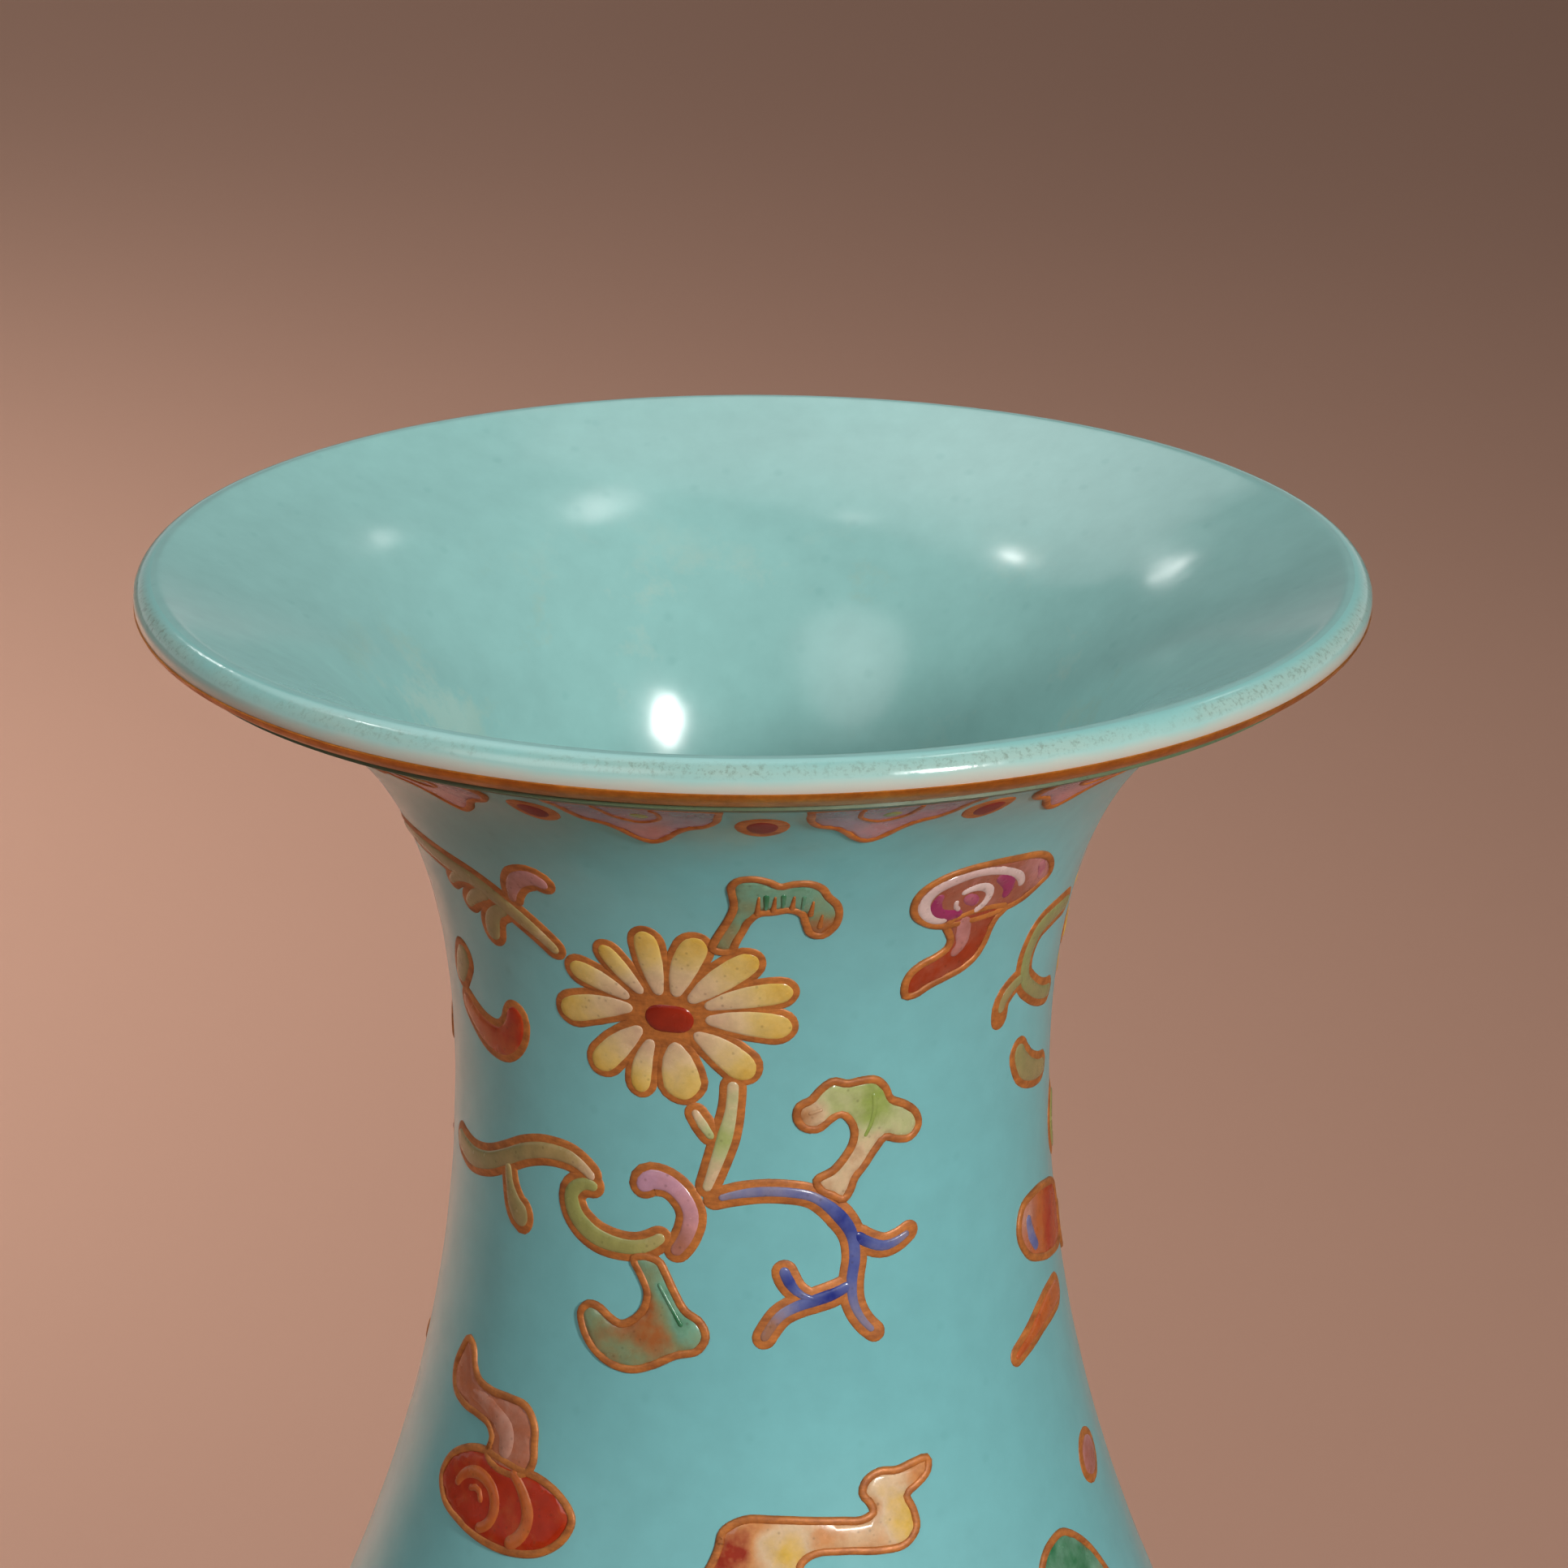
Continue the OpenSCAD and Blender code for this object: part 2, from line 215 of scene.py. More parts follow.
def turned(name, node, slot, material, steps=3, tone=None, fine_above=0.0):
    """A smooth closed skin turned from the section of a CAD node, which it stands for.

    Below fine_above, where later layers hide it, the skin keeps only the section's own points.
    """
    points, closed = section(node)
    curve, marks = [], []
    for run in runs_of(points, closed):
        part = eased_run(run, steps)
        part = part[(part[:, 1] > fine_above) | (np.arange(len(part)) % steps == 0)]
        curve += list(part[:-1])
        marks += [True] + [False] * (len(part) - 2)
        last = part[-1]
    if not closed:
        curve.append(last)
        marks.append(False)
    curve = np.array(curve)
    area = sum(a[0] * b[1] - b[0] * a[1] for a, b in zip(curve, np.roll(curve, -1, 0)))
    if area < 0:
        curve, marks = curve[::-1], marks[::-1]
    angles = np.arange(AROUND) * FULL_TURN / AROUND
    wide = [i for i, p in enumerate(curve) if p[0] > 1e-6]
    tips = [i for i, p in enumerate(curve) if p[0] <= 1e-6]
    start = {i: k * AROUND for k, i in enumerate(wide)}
    start.update({i: len(wide) * AROUND + k for k, i in enumerate(tips)})
    circle = np.c_[np.sin(angles), -np.cos(angles)]
    rings = [np.c_[curve[i][0] * circle, np.full(AROUND, curve[i][1])] for i in wide]
    verts = np.concatenate(rings + [np.array([[0, 0, curve[i][1]]]) for i in tips])
    sharp = np.concatenate([np.full(AROUND, marks[i]) for i in wide] + [np.zeros(len(tips), bool)])
    pairs = [(i, (i + 1) % len(curve)) for i in range(len(curve) if closed else len(curve) - 1)]
    faces = []
    for a, b in pairs:
        if a in tips and b in tips:
            continue
        for k in range(AROUND):
            m = (k + 1) % AROUND
            if a in tips:
                faces.append((start[a], start[b] + m, start[b] + k))
            elif b in tips:
                faces.append((start[a] + k, start[a] + m, start[b]))
            else:
                faces.append((start[a] + k, start[a] + m, start[b] + m, start[b] + k))
    tones = None
    if tone:
        heights = [tone(*curve[i]) for i in wide]
        tones = np.concatenate([np.full(AROUND, h) for h in heights] + [np.zeros(len(tips))])
    return finished(mesh_object(name, verts, faces, tones, sharp), slot, material, node)


# ---------------------------------------------------------------- painting on the side

class Side:
    """The turquoise outside of the pot. v runs up it in millimetres from the waist of the neck."""

    def __init__(self):
        runs = runs_of(*section("outer_enamel"))
        runs.sort(key=len)
        run = max(runs[-2:], key=lambda r: r[:, 0].mean())
        line = eased(faired(eased(run if run[0][1] < run[-1][1] else run[::-1], 3)), 4) / MM
        step = np.gradient(line, axis=0)
        step /= np.linalg.norm(step, axis=1)[:, None]
        self.r, self.z = line.T
        self.out = np.c_[step[:, 1], -step[:, 0]]
        length = np.r_[0, np.cumsum(np.linalg.norm(np.diff(line, axis=0), axis=1))]
        upper = np.where(self.z > self.z.max() / 2, self.r, 1e9)
        self.v = length - length[int(upper.argmin())]
        self.waist_r = float(upper.min())
        self.end = float(self.v[-1])

    def radius(self, v):
        return np.interp(v, self.v, self.r)

    def v_at(self, z):
        return float(np.interp(z, self.z, self.v))

    def point(self, angle, v, h):
        out_r, out_z = np.interp(v, self.v, self.out[:, 0]), np.interp(v, self.v, self.out[:, 1])
        r, z = self.radius(v) + h * out_r, np.interp(v, self.v, self.z) + h * out_z
        return np.stack([r * np.sin(angle), -r * np.cos(angle), z], -1) * MM


side = Side()


class Chart:
    """A patch of the side to paint on: x runs round the pot and y up it, in millimetres before it grows."""

    def __init__(self, angle, v, grow=1.0, ref=None, origin=(0.0, 0.0)):
        self.angle, self.v, self.grow, self.origin = angle, v, grow, np.array(origin)
        self.ref = ref or float(side.radius(v))

    def to_side(self, xy):
        x, y = ((xy - self.origin) * self.grow).T
        return self.angle + x / self.ref, self.v + y

    def squeeze(self, xy):
        """How much wider a step round the pot is there than it is on the chart."""
        return side.radius(self.to_side(xy)[1]) / self.ref


ACROSS = np.array([1, 0.93, 0.75, 0.4, 0, -0.4, -0.75, -0.93, -1])
DOME = (1 - np.abs(ACROSS) ** 3) ** 0.5


def eased_loop(points, steps):
    """A smooth closed curve through points, without the repeat of its first point."""
    wrapped = [points[i % len(points)] for i in range(-2, len(points) + 3)]
    return eased(wrapped, steps)[2 * steps:-2 * steps - 1]


class Paint:
    """Painted strokes and plates gathered into one mesh."""

    def __init__(self):
        self.verts, self.faces, self.tones, self.count = [], [], [], 0

    def add(self, chart, xy, heights, tones, faces):
        angle, v = chart.to_side(xy)
        self.verts.append(side.point(angle, v, heights))
        self.tones.append(tones)
        self.faces += [tuple(self.count + i for i in face) for face in faces]
        self.count += len(xy)

    def stroke(self, chart, line, widths, rise, tone=(0.0, 1.0), longer=(0.0, 0.0), wider=0.0):
        """One raised stroke along a smooth line, with round ends."""
        line = np.array(line, float)
        grow = chart.grow
        for end, inner, more in ((0, 1, longer[0]), (-1, -2, longer[1])):
            way = line[end] - line[inner]
            line[end] = line[end] + way / np.linalg.norm(way) * more
        steps = np.diff(line, axis=0) * grow
        steps[:, 0] *= chart.squeeze((line[1:] + line[:-1]) / 2)
        far = np.r_[0, np.cumsum(np.hypot(*steps.T))]
        total = far[-1]
        widths = (np.array(widths, float) + 2 * wider) * grow
        first, last = (min(w / 2, total * 0.45) for w in (widths[0], widths[-1]))
        count = max(3, int((total - first - last) / (STROKE_STEP * grow)))
        bend = np.array([0.004, 0.03, 0.12, 0.3, 0.6])
        stations = np.r_[first * bend, np.linspace(first, total - last, count), total - last * bend[::-1]]
        xy = np.c_[np.interp(stations, far, line[:, 0]), np.interp(stations, far, line[:, 1])]
        way = np.gradient(xy, stations, axis=0)
        squeeze = chart.squeeze(xy)
        way[:, 0] *= squeeze
        way /= np.linalg.norm(way, axis=1)[:, None]
        edge = np.ones(len(stations))
        for gap, end in ((stations, first), (total - stations, last)):
            edge *= np.sqrt(1 - (1 - np.clip(gap / end, 0, 1)) ** 2)
        half = np.interp(stations / total, np.linspace(0, 1, len(widths)), widths) / 2 * edge
        left = np.c_[-way[:, 1] / squeeze, way[:, 0]] / grow
        spots = xy[:, None, :] + left[:, None, :] * (half[:, None] * ACROSS[None, :])[:, :, None]
        heights = rise * grow**0.5 * DOME[None, :] * edge[:, None] ** 0.5
        spots = np.concatenate([spots, spots[:, -1:], spots[:, :1]], 1)
        heights = np.concatenate([heights, np.full((len(stations), 2), -SINK)], 1)
        rim, n = spots.shape[1], len(stations)
        tones = np.interp(stations / total, np.linspace(0, 1, len(tone)), tone)
        faces = [(i * rim + j, i * rim + (j + 1) % rim, (i + 1) * rim + (j + 1) % rim, (i + 1) * rim + j)
                 for i in range(n - 1) for j in range(rim)]
        faces += [tuple(reversed(range(rim))), tuple((n - 1) * rim + j for j in range(rim))]
        self.add(chart, spots.reshape(-1, 2), heights.reshape(-1), np.repeat(tones, rim), faces)

    def plate(self, chart, loop, rise, anchors):
        """A raised patch inside a closed line. Its tone is that of the nearest anchors (x, y, tone)."""
        loop = np.array(loop, float)
        low, high = loop.min(0), loop.max(0)
        columns, rows = (np.arange(low[i], high[i], PLATE_PITCH) for i in (0, 1))
        grid = np.stack(np.meshgrid(columns, rows), -1).reshape(-1, 2)
        grid[:, 0] += np.where(np.round((grid[:, 1] - low[1]) / PLATE_PITCH) % 2, PLATE_PITCH / 2, 0)
        a, b, p = loop[None], np.roll(loop, -1, 0)[None], grid[:, None]
        across = (a[..., 1] > p[..., 1]) != (b[..., 1] > p[..., 1])
        rise_of_side = np.where(across, b[..., 1] - a[..., 1], 1)
        crossing = a[..., 0] + (p[..., 1] - a[..., 1]) * (b[..., 0] - a[..., 0]) / rise_of_side
        within = (across & (p[..., 0] < crossing)).sum(1) % 2 == 1
        gaps = np.linalg.norm(p - a, axis=2).min(1)
        inner = grid[within & (gaps > PLATE_GAP)]
        n = len(loop)
        flat = np.concatenate([loop, inner])
        edges = [(i, (i + 1) % n) for i in range(n)]
        made = delaunay_2d_cdt([Vector(q) for q in flat], edges, [], 1, 1e-6)
        xy = np.array([tuple(q) for q in made[0]])
        count = len(xy)
        near = np.linalg.norm(xy[:, None] - loop[None], axis=2).min(1)
        swell = np.clip(near / PLATE_EDGE, 0, 1)
        heights = rise * chart.grow**0.5 * (0.25 + 0.75 * np.sqrt(1 - (1 - swell) ** 2))
        spots = np.array(anchors, float)
        pull = 1 / (((xy[:, None] - spots[None, :, :2]) ** 2).sum(2) + 0.05) ** 1.5
        tones = (pull * spots[None, :, 2]).sum(1) / pull.sum(1)
        up = []
        for face in made[2]:
            (ax, ay), (bx, by), (cx, cy) = (xy[k] for k in face[:3])
            up.append(tuple(face) if (bx - ax) * (cy - ay) > (by - ay) * (cx - ax) else tuple(reversed(face)))
        sides = set()
        for face in up:
            sides |= {(face[k], face[(k + 1) % len(face)]) for k in range(len(face))}
        rims = [(i, j) for i, j in sides if (j, i) not in sides]
        faces = up + [tuple(count + k for k in reversed(face)) for face in up]
        faces += [(j, i, count + i, count + j) for i, j in sorted(rims)]
        both = np.r_[heights, np.full(count, -SINK)]
        self.add(chart, np.concatenate([xy, xy]), both, np.r_[tones, tones], faces)

    def piece(self, name, slot, material, *nodes):
        obj = mesh_object(name, np.concatenate(self.verts), self.faces, np.concatenate(self.tones))
        return finished(obj, slot, material, *nodes)


paints = {}


def paint(key):
    return paints.setdefault(key, Paint())


def band(chart, lines, key, tone, widths, points, tips=(0.0, 0.0), outline=OUTLINE):
    """An enamel stroke with its gilt outline, which lies wider and lower and may run on past its ends."""
    line = eased(points, 10)
    outline /= chart.grow**0.5
    paint(lines).stroke(chart, line, widths, GILT_RISE, (0.3, 0.7), (tips[0] + outline, tips[1] + outline),
                        outline)
    paint(key).stroke(chart, line, widths, COLOUR_RISE, tone)


def detail(chart, key, tone, widths, points):
    """A finer stroke on top of the enamel."""
    paint(key).stroke(chart, eased(points, 10), widths, DETAIL_RISE, tone)


def plate(chart, lines, key, anchors, contour):
    """A larger patch of enamel inside a gilt contour."""
    loop = eased_loop(contour, 5)
    paint(key).plate(chart, loop, PLATE_RISE, anchors)
    closed = np.concatenate([loop, loop[:6]])
    paint(lines).stroke(chart, closed, (CONTOUR / chart.grow**0.5,), CONTOUR_RISE, (0.3, 0.7))


# The motifs are in millimetres on the neck's chart: y is 0 at the waist and x is 0 at the front.
# Chrysanthemum: root, middle, tip and greatest width of each petal
HEART = (-5.35, 11.5)
PETALS = [
    ((-2.6, 12.8), (0.2, 13.6), (2.7, 13.9), 1.7),
    ((-2.6, 11.6), (0.0, 11.4), (2.7, 10.9), 1.9),
    ((-3.5, 10.3), (-1.6, 8.9), (0.1, 7.2), 2.0),
    ((-5.0, 9.4), (-4.8, 7.4), (-4.4, 5.3), 2.5),
    ((-6.8, 9.4), (-7.4, 7.6), (-7.6, 5.5), 1.4),
    ((-7.6, 10.4), (-9.1, 8.8), (-10.9, 6.8), 1.8),
    ((-8.2, 12.1), (-10.6, 11.6), (-13.3, 10.6), 1.9),
    ((-8.4, 13.0), (-10.1, 13.9), (-12.1, 14.6), 1.6),
    ((-7.3, 13.6), (-8.5, 15.3), (-9.5, 16.9), 1.35),
    ((-6.0, 13.6), (-6.3, 16.2), (-6.5, 18.7), 1.7),
    ((-4.8, 13.6), (-4.0, 16.2), (-3.0, 18.4), 1.9),
    ((-3.8, 13.2), (-1.7, 15.1), (0.4, 16.9), 1.9),
]
# Strokes of the spray: piece, tones, widths, points from the root, how far the gilt runs past the ends
STEMS = [
    ("pale_leaves", (0.2, 0.5, 0.8), (0.6, 0.8, 0.6), [(-3.9, 4.6), (-3.2, 3.4), (-2.6, 2.5)]),
    ("pale_leaves", (0.3, 0.45, 0.9, 0.4, 0.3), (0.9, 0.9, 1.2, 1.0, 0.7),
     [(-1.2, 6.9), (-1.35, 4.6), (-1.9, 2.2), (-2.5, 0.3), (-3.1, -1.4)]),
    ("blue_leaf", (0.3, 0.4, 0.4, 0.5, 1.0, 0.6, 0.7, 0.4, 0.2),
     (0.5, 0.8, 0.8, 0.8, 1.1, 0.9, 0.9, 0.7, 0.5),
     [(-2.2, -1.9), (0.0, -1.4), (2.2, -1.4), (4.3, -1.9), (5.9, -3.2), (7.0, -4.9), (7.2, -6.6),
      (6.95, -8.3), (7.05, -9.9), (7.7, -11.3), (8.4, -12.1)], (0.6, 0.4)),
    ("blue_leaf", (1.0, 0.65, 0.5, 0.2), (0.9, 0.9, 0.8, 0.5),
     [(7.2, -4.9), (8.3, -5.7), (9.4, -6.1), (10.4, -5.9), (11.3, -5.4)], (0.0, 0.3)),
    ("blue_leaf", (0.6, 1.0, 0.8, 0.45, 0.1, 0.0), (0.8, 1.0, 0.9, 0.8, 0.7),
     [(6.9, -8.5), (5.6, -9.1), (4.5, -9.4), (3.1, -9.8), (2.0, -10.4), (1.3, -11.3), (0.8, -12.2)],
     (0.0, 0.1)),
    ("blue_leaf", (0.5, 0.9, 0.5, 0.9), (0.8, 0.9, 0.6, 0.5),
     [(2.2, -6.9), (2.5, -7.8), (3.2, -8.8), (4.4, -9.4)]),
    ("curls", (0.0, 0.3, 0.7, 0.9, 1.0), (0.9, 1.1, 1.2, 1.2, 1.3, 1.6, 1.3),
     [(-5.4, -6.2), (-4.4, -4.7), (-4.1, -3.2), (-4.7, -1.9), (-5.9, -1.0), (-7.1, -1.0), (-7.6, -1.9)]),
    ("scrolls", (0.2, 0.8, 1.0, 0.7), (0.8, 1.1, 1.2, 1.4, 1.5, 1.4, 1.1, 0.8),
     [(-6.0, -4.9), (-7.5, -5.9), (-9.5, -6.1), (-11.5, -5.6), (-12.9, -4.3), (-13.1, -3.0),
      (-12.2, -2.2), (-11.0, -2.3)]),
]
# Leaves of the spray: piece, tone anchors, contour
UPPER_LEAF = (
    "leaves", [(-1.6, 18.4, 0.35), (-0.4, 21.5, 0.5), (0.5, 23.6, 0.55), (2.4, 22.4, 0.7),
               (4.2, 21.6, 0.6), (4.3, 19.4, 0.0)],
    [(-2.3, 17.5), (-1.9, 18.8), (-1.3, 20.2), (-0.95, 21.5), (-1.0, 22.6), (-1.05, 23.6), (-0.6, 24.35),
     (0.2, 24.5), (1.0, 24.1), (1.6, 23.6), (2.3, 23.85), (3.2, 23.8), (3.9, 23.2), (4.3, 22.3),
     (4.85, 21.5), (5.1, 20.5), (4.9, 19.3), (4.2, 18.6), (3.6, 18.8), (3.2, 19.8), (2.9, 20.8),
     (2.2, 21.2), (1.3, 21.0), (0.5, 20.9), (-0.1, 20.2), (-0.5, 19.2), (-0.9, 18.2), (-1.2, 17.4)])
PALE_LEAF = (
    "pale_leaves", [(6.0, -0.9, 0.3), (8.2, 1.6, 0.35), (8.7, 4.3, 1.0), (6.0, 5.2, 0.8),
                    (4.2, 4.3, 0.1), (11.2, 2.9, 0.6)],
    [(4.5, -0.8), (5.7, -0.1), (6.6, 0.9), (7.1, 1.8), (7.2, 2.7), (6.9, 3.5), (6.2, 4.1), (5.4, 3.7),
     (4.6, 3.1), (3.6, 3.3), (3.1, 4.2), (3.3, 4.9), (4.1, 5.3), (4.7, 6.0), (5.6, 6.6), (6.6, 6.3),
     (7.5, 6.4), (8.7, 6.3), (9.4, 5.6), (9.8, 4.7), (10.9, 4.1), (11.9, 3.2), (12.1, 2.3), (11.4, 1.5),
     (10.4, 1.6), (9.5, 1.9), (8.8, 1.2), (8.0, 0.1), (7.2, -0.9), (6.9, -1.7), (6.4, -2.3), (5.7, -1.9),
     (4.9, -1.5)])
LOWER_LEAF = (
    "leaves", [(-6.9, -7.4, 0.5), (-6.0, -9.0, 0.72), (-4.6, -11.3, 0.7), (-7.3, -9.6, 0.0),
               (-7.6, -12.0, 0.0), (-6.1, -12.4, 0.05), (-8.0, -13.8, 0.35), (-10.2, -12.2, 0.2),
               (-11.2, -12.0, 0.38)],
    [(-8.2, -6.9), (-7.6, -8.0), (-7.1, -9.2), (-7.3, -10.4), (-8.0, -11.3), (-9.0, -11.8),
     (-9.9, -11.4), (-10.6, -10.9), (-11.4, -10.8), (-12.0, -11.4), (-11.8, -12.6), (-11.0, -13.8),
     (-9.6, -14.7), (-8.0, -14.9), (-6.6, -14.4), (-5.0, -13.5), (-3.5, -13.0), (-3.0, -12.0),
     (-3.4, -11.0), (-4.4, -10.3), (-5.2, -9.0), (-5.9, -7.6), (-6.3, -6.9)])
# Fine strokes on the leaves
SPIKES = [(0.35, 21.0, 23.0), (1.25, 21.3, 23.0), (2.3, 21.5, 23.0), (3.4, 20.8, 22.4), (4.0, 19.6, 21.0)]
VEINS = [
    ("leaves", (0.9, 1.0), (0.35, 0.55), [(0.85, 21.3), (0.85, 22.9)]),
    ("leaves", (0.9, 1.0), (0.3, 0.5), [(1.8, 21.5), (1.8, 22.9)]),
    ("leaves", (0.8, 0.9), (0.3, 0.4), [(2.9, 21.3), (2.95, 22.7)]),
    ("leaves", (0.8, 0.9), (0.3, 0.4), [(-6.3, -8.4), (-5.4, -10.0), (-4.6, -11.4)]),
    ("pale_leaves", (0.1, 0.1), (0.3, 0.3), [(3.9, 4.3), (4.9, 4.6)]),
    ("pale_leaves", (0.9, 1.0), (0.3, 0.5), [(7.9, 2.2), (8.5, 3.6), (8.5, 5.4)]),
]
# Clouds: a puffed head and a tail that curls away under it
PINK_HEAD = (
    "pink_cloud", [(15.0, 20.0, 0.3), (19.9, 20.4, 0.6), (17.5, 18.6, 0.2)],
    [(9.75, 20.3), (10.0, 21.6), (11.0, 22.6), (12.6, 23.1), (14.4, 23.1), (16.4, 22.8), (18.4, 22.3),
     (19.8, 21.4), (20.7, 20.3), (20.9, 19.6), (20.1, 19.0), (18.8, 18.3), (17.2, 18.0), (15.5, 17.9),
     (13.8, 17.9), (12.0, 18.0), (10.8, 18.6), (10.0, 19.4)])
PINK_TAIL = (
    "pink_cloud", [(14.0, 17.0, 0.15), (11.0, 13.4, 0.0), (15.5, 15.5, 0.0)],
    [(12.4, 17.9), (12.8, 17.2), (13.1, 16.5), (13.0, 15.9), (12.2, 15.3), (11.2, 14.9), (10.5, 14.3),
     (10.2, 13.3), (10.4, 12.5), (11.0, 12.5), (12.0, 13.0), (13.3, 13.4), (14.6, 13.8), (15.6, 14.5),
     (16.1, 15.5), (16.3, 16.6), (16.6, 17.4), (17.2, 17.9)])
PINK_DETAILS = [
    ("pink_cloud", (0.5, 0.6, 0.5), (1.2, 1.5, 1.2, 0.8),
     [(13.6, 18.4), (13.9, 17.1), (14.0, 16.0), (13.3, 15.2)]),
    ("pale_bands", (0.9, 1.0, 0.6, 1.0, 0.8), (0.9, 1.1, 1.0, 0.9, 0.9, 0.8),
     [(12.4, 18.6), (11.1, 19.0), (10.4, 20.2), (10.8, 21.5), (12.0, 22.2), (13.5, 22.5), (15.0, 22.2),
      (16.4, 21.5), (17.5, 20.6), (17.9, 19.7)]),
    ("pink_cloud", (1.0, 0.95), (0.8, 1.2, 1.2, 0.9),
     [(11.5, 21.1), (11.2, 20.2), (11.5, 19.3), (12.4, 18.9), (13.4, 18.9)]),
    ("pale_bands", (1.0, 0.9), (0.6, 0.9, 0.9, 0.6),
     [(12.8, 20.7), (13.5, 21.0), (14.4, 20.9), (15.1, 20.2), (15.0, 19.3), (14.2, 18.7)]),
    ("pale_bands", (0.8, 0.6), (0.5, 0.5), [(12.7, 20.2), (12.7, 19.6), (13.1, 19.2)]),
    ("pink_cloud", (0.95, 1.0), (0.9, 1.2, 0.9), [(13.1, 20.3), (13.8, 19.9), (14.3, 19.3)]),
    ("pink_cloud", (0.9, 1.0, 1.0), (0.8, 1.5, 1.4, 0.8),
     [(15.2, 21.4), (16.2, 20.9), (16.7, 20.0), (16.5, 19.1)]),
    ("pink_cloud", (0.7, 0.85, 0.7), (0.7, 1.0, 0.8), [(18.9, 21.4), (19.5, 20.5), (19.7, 19.6)]),
]
RED_HEAD = (
    "red_cloud", [(-17.0, -27.0, 0.0)],
    [(-22.8, -27.2), (-22.4, -25.8), (-21.0, -24.5), (-19.2, -23.8), (-17.4, -23.8), (-15.6, -24.0),
     (-13.8, -24.2), (-12.2, -25.0), (-11.2, -26.3), (-11.6, -27.8), (-13.0, -29.2), (-15.2, -29.9),
     (-17.6, -29.9), (-20.0, -29.4), (-21.8, -28.7)])
RED_TAIL = (
    "red_cloud", [(-16.5, -22.0, 0.75), (-22.5, -19.5, 0.7)],
    [(-18.6, -23.9), (-18.4, -22.6), (-18.9, -21.9), (-20.2, -21.6), (-22.0, -21.5), (-23.4, -20.9),
     (-23.9, -19.6), (-23.4, -18.0), (-22.6, -16.9), (-21.9, -17.3), (-21.5, -18.4), (-20.8, -19.2),
     (-19.4, -19.5), (-17.4, -19.4), (-15.8, -19.5), (-14.9, -20.6), (-14.7, -22.0), (-14.6, -23.2),
     (-14.9, -24.0)])
RED_DETAILS = [
    ("red_cloud", (1.0, 0.9, 0.7), (1.4, 2.0, 1.4, 0.9),
     [(-17.2, -23.7), (-17.1, -21.9), (-18.6, -20.8), (-21.2, -20.4)]),
    ("red_cloud", (0.3, 0.35), (0.8, 1.2, 1.2, 0.9),
     [(-20.9, -27.2), (-20.2, -26.0), (-18.9, -25.5), (-17.5, -26.1), (-17.0, -27.3), (-17.3, -28.6),
      (-18.3, -29.3)]),
    ("red_cloud", (0.3, 0.3), (0.6, 0.7), [(-19.6, -26.9), (-18.7, -26.6), (-18.3, -27.5)]),
    ("red_cloud", (0.42, 0.38), (0.9, 1.3, 1.2),
     [(-16.2, -24.3), (-14.9, -25.6), (-14.3, -27.1), (-14.6, -28.5), (-15.7, -29.5)]),
]
YELLOW_CLOUD = (
    "yellow_cloud", [(-0.7, -27.3, 0.0), (-0.6, -26.4, 0.08), (0.4, -25.4, 0.25), (1.0, -26.5, 0.6),
                     (2.1, -27.2, 1.0), (4.5, -26.3, 0.4), (7.5, -26.7, 0.45), (9.5, -26.0, 0.95),
                     (9.2, -24.7, 0.95), (8.2, -23.4, 0.6), (7.4, -24.6, 0.3), (11.0, -22.6, 0.25),
                     (0.0, -31.0, 0.0), (3.0, -31.0, 0.4)],
    [(-1.9, -27.0), (-1.6, -25.7), (-0.4, -24.9), (1.5, -24.9), (3.6, -25.1), (5.6, -25.3), (6.9, -25.4),
     (7.6, -25.0), (7.4, -24.2), (7.0, -23.6), (7.3, -22.7), (8.2, -22.2), (9.4, -22.3), (10.6, -22.0),
     (11.6, -21.9), (11.5, -22.8), (10.6, -23.6), (9.9, -24.1), (10.2, -25.2), (10.3, -26.6),
     (9.4, -27.6), (8.0, -27.7), (5.6, -27.4), (3.6, -27.5), (2.9, -28.2), (3.2, -29.2), (5.0, -30.6),
     (5.6, -32.2), (4.4, -33.6), (2.2, -34.2), (-0.4, -34.0), (-2.4, -33.0), (-3.3, -31.4),
     (-3.0, -29.6), (-2.3, -28.2)])
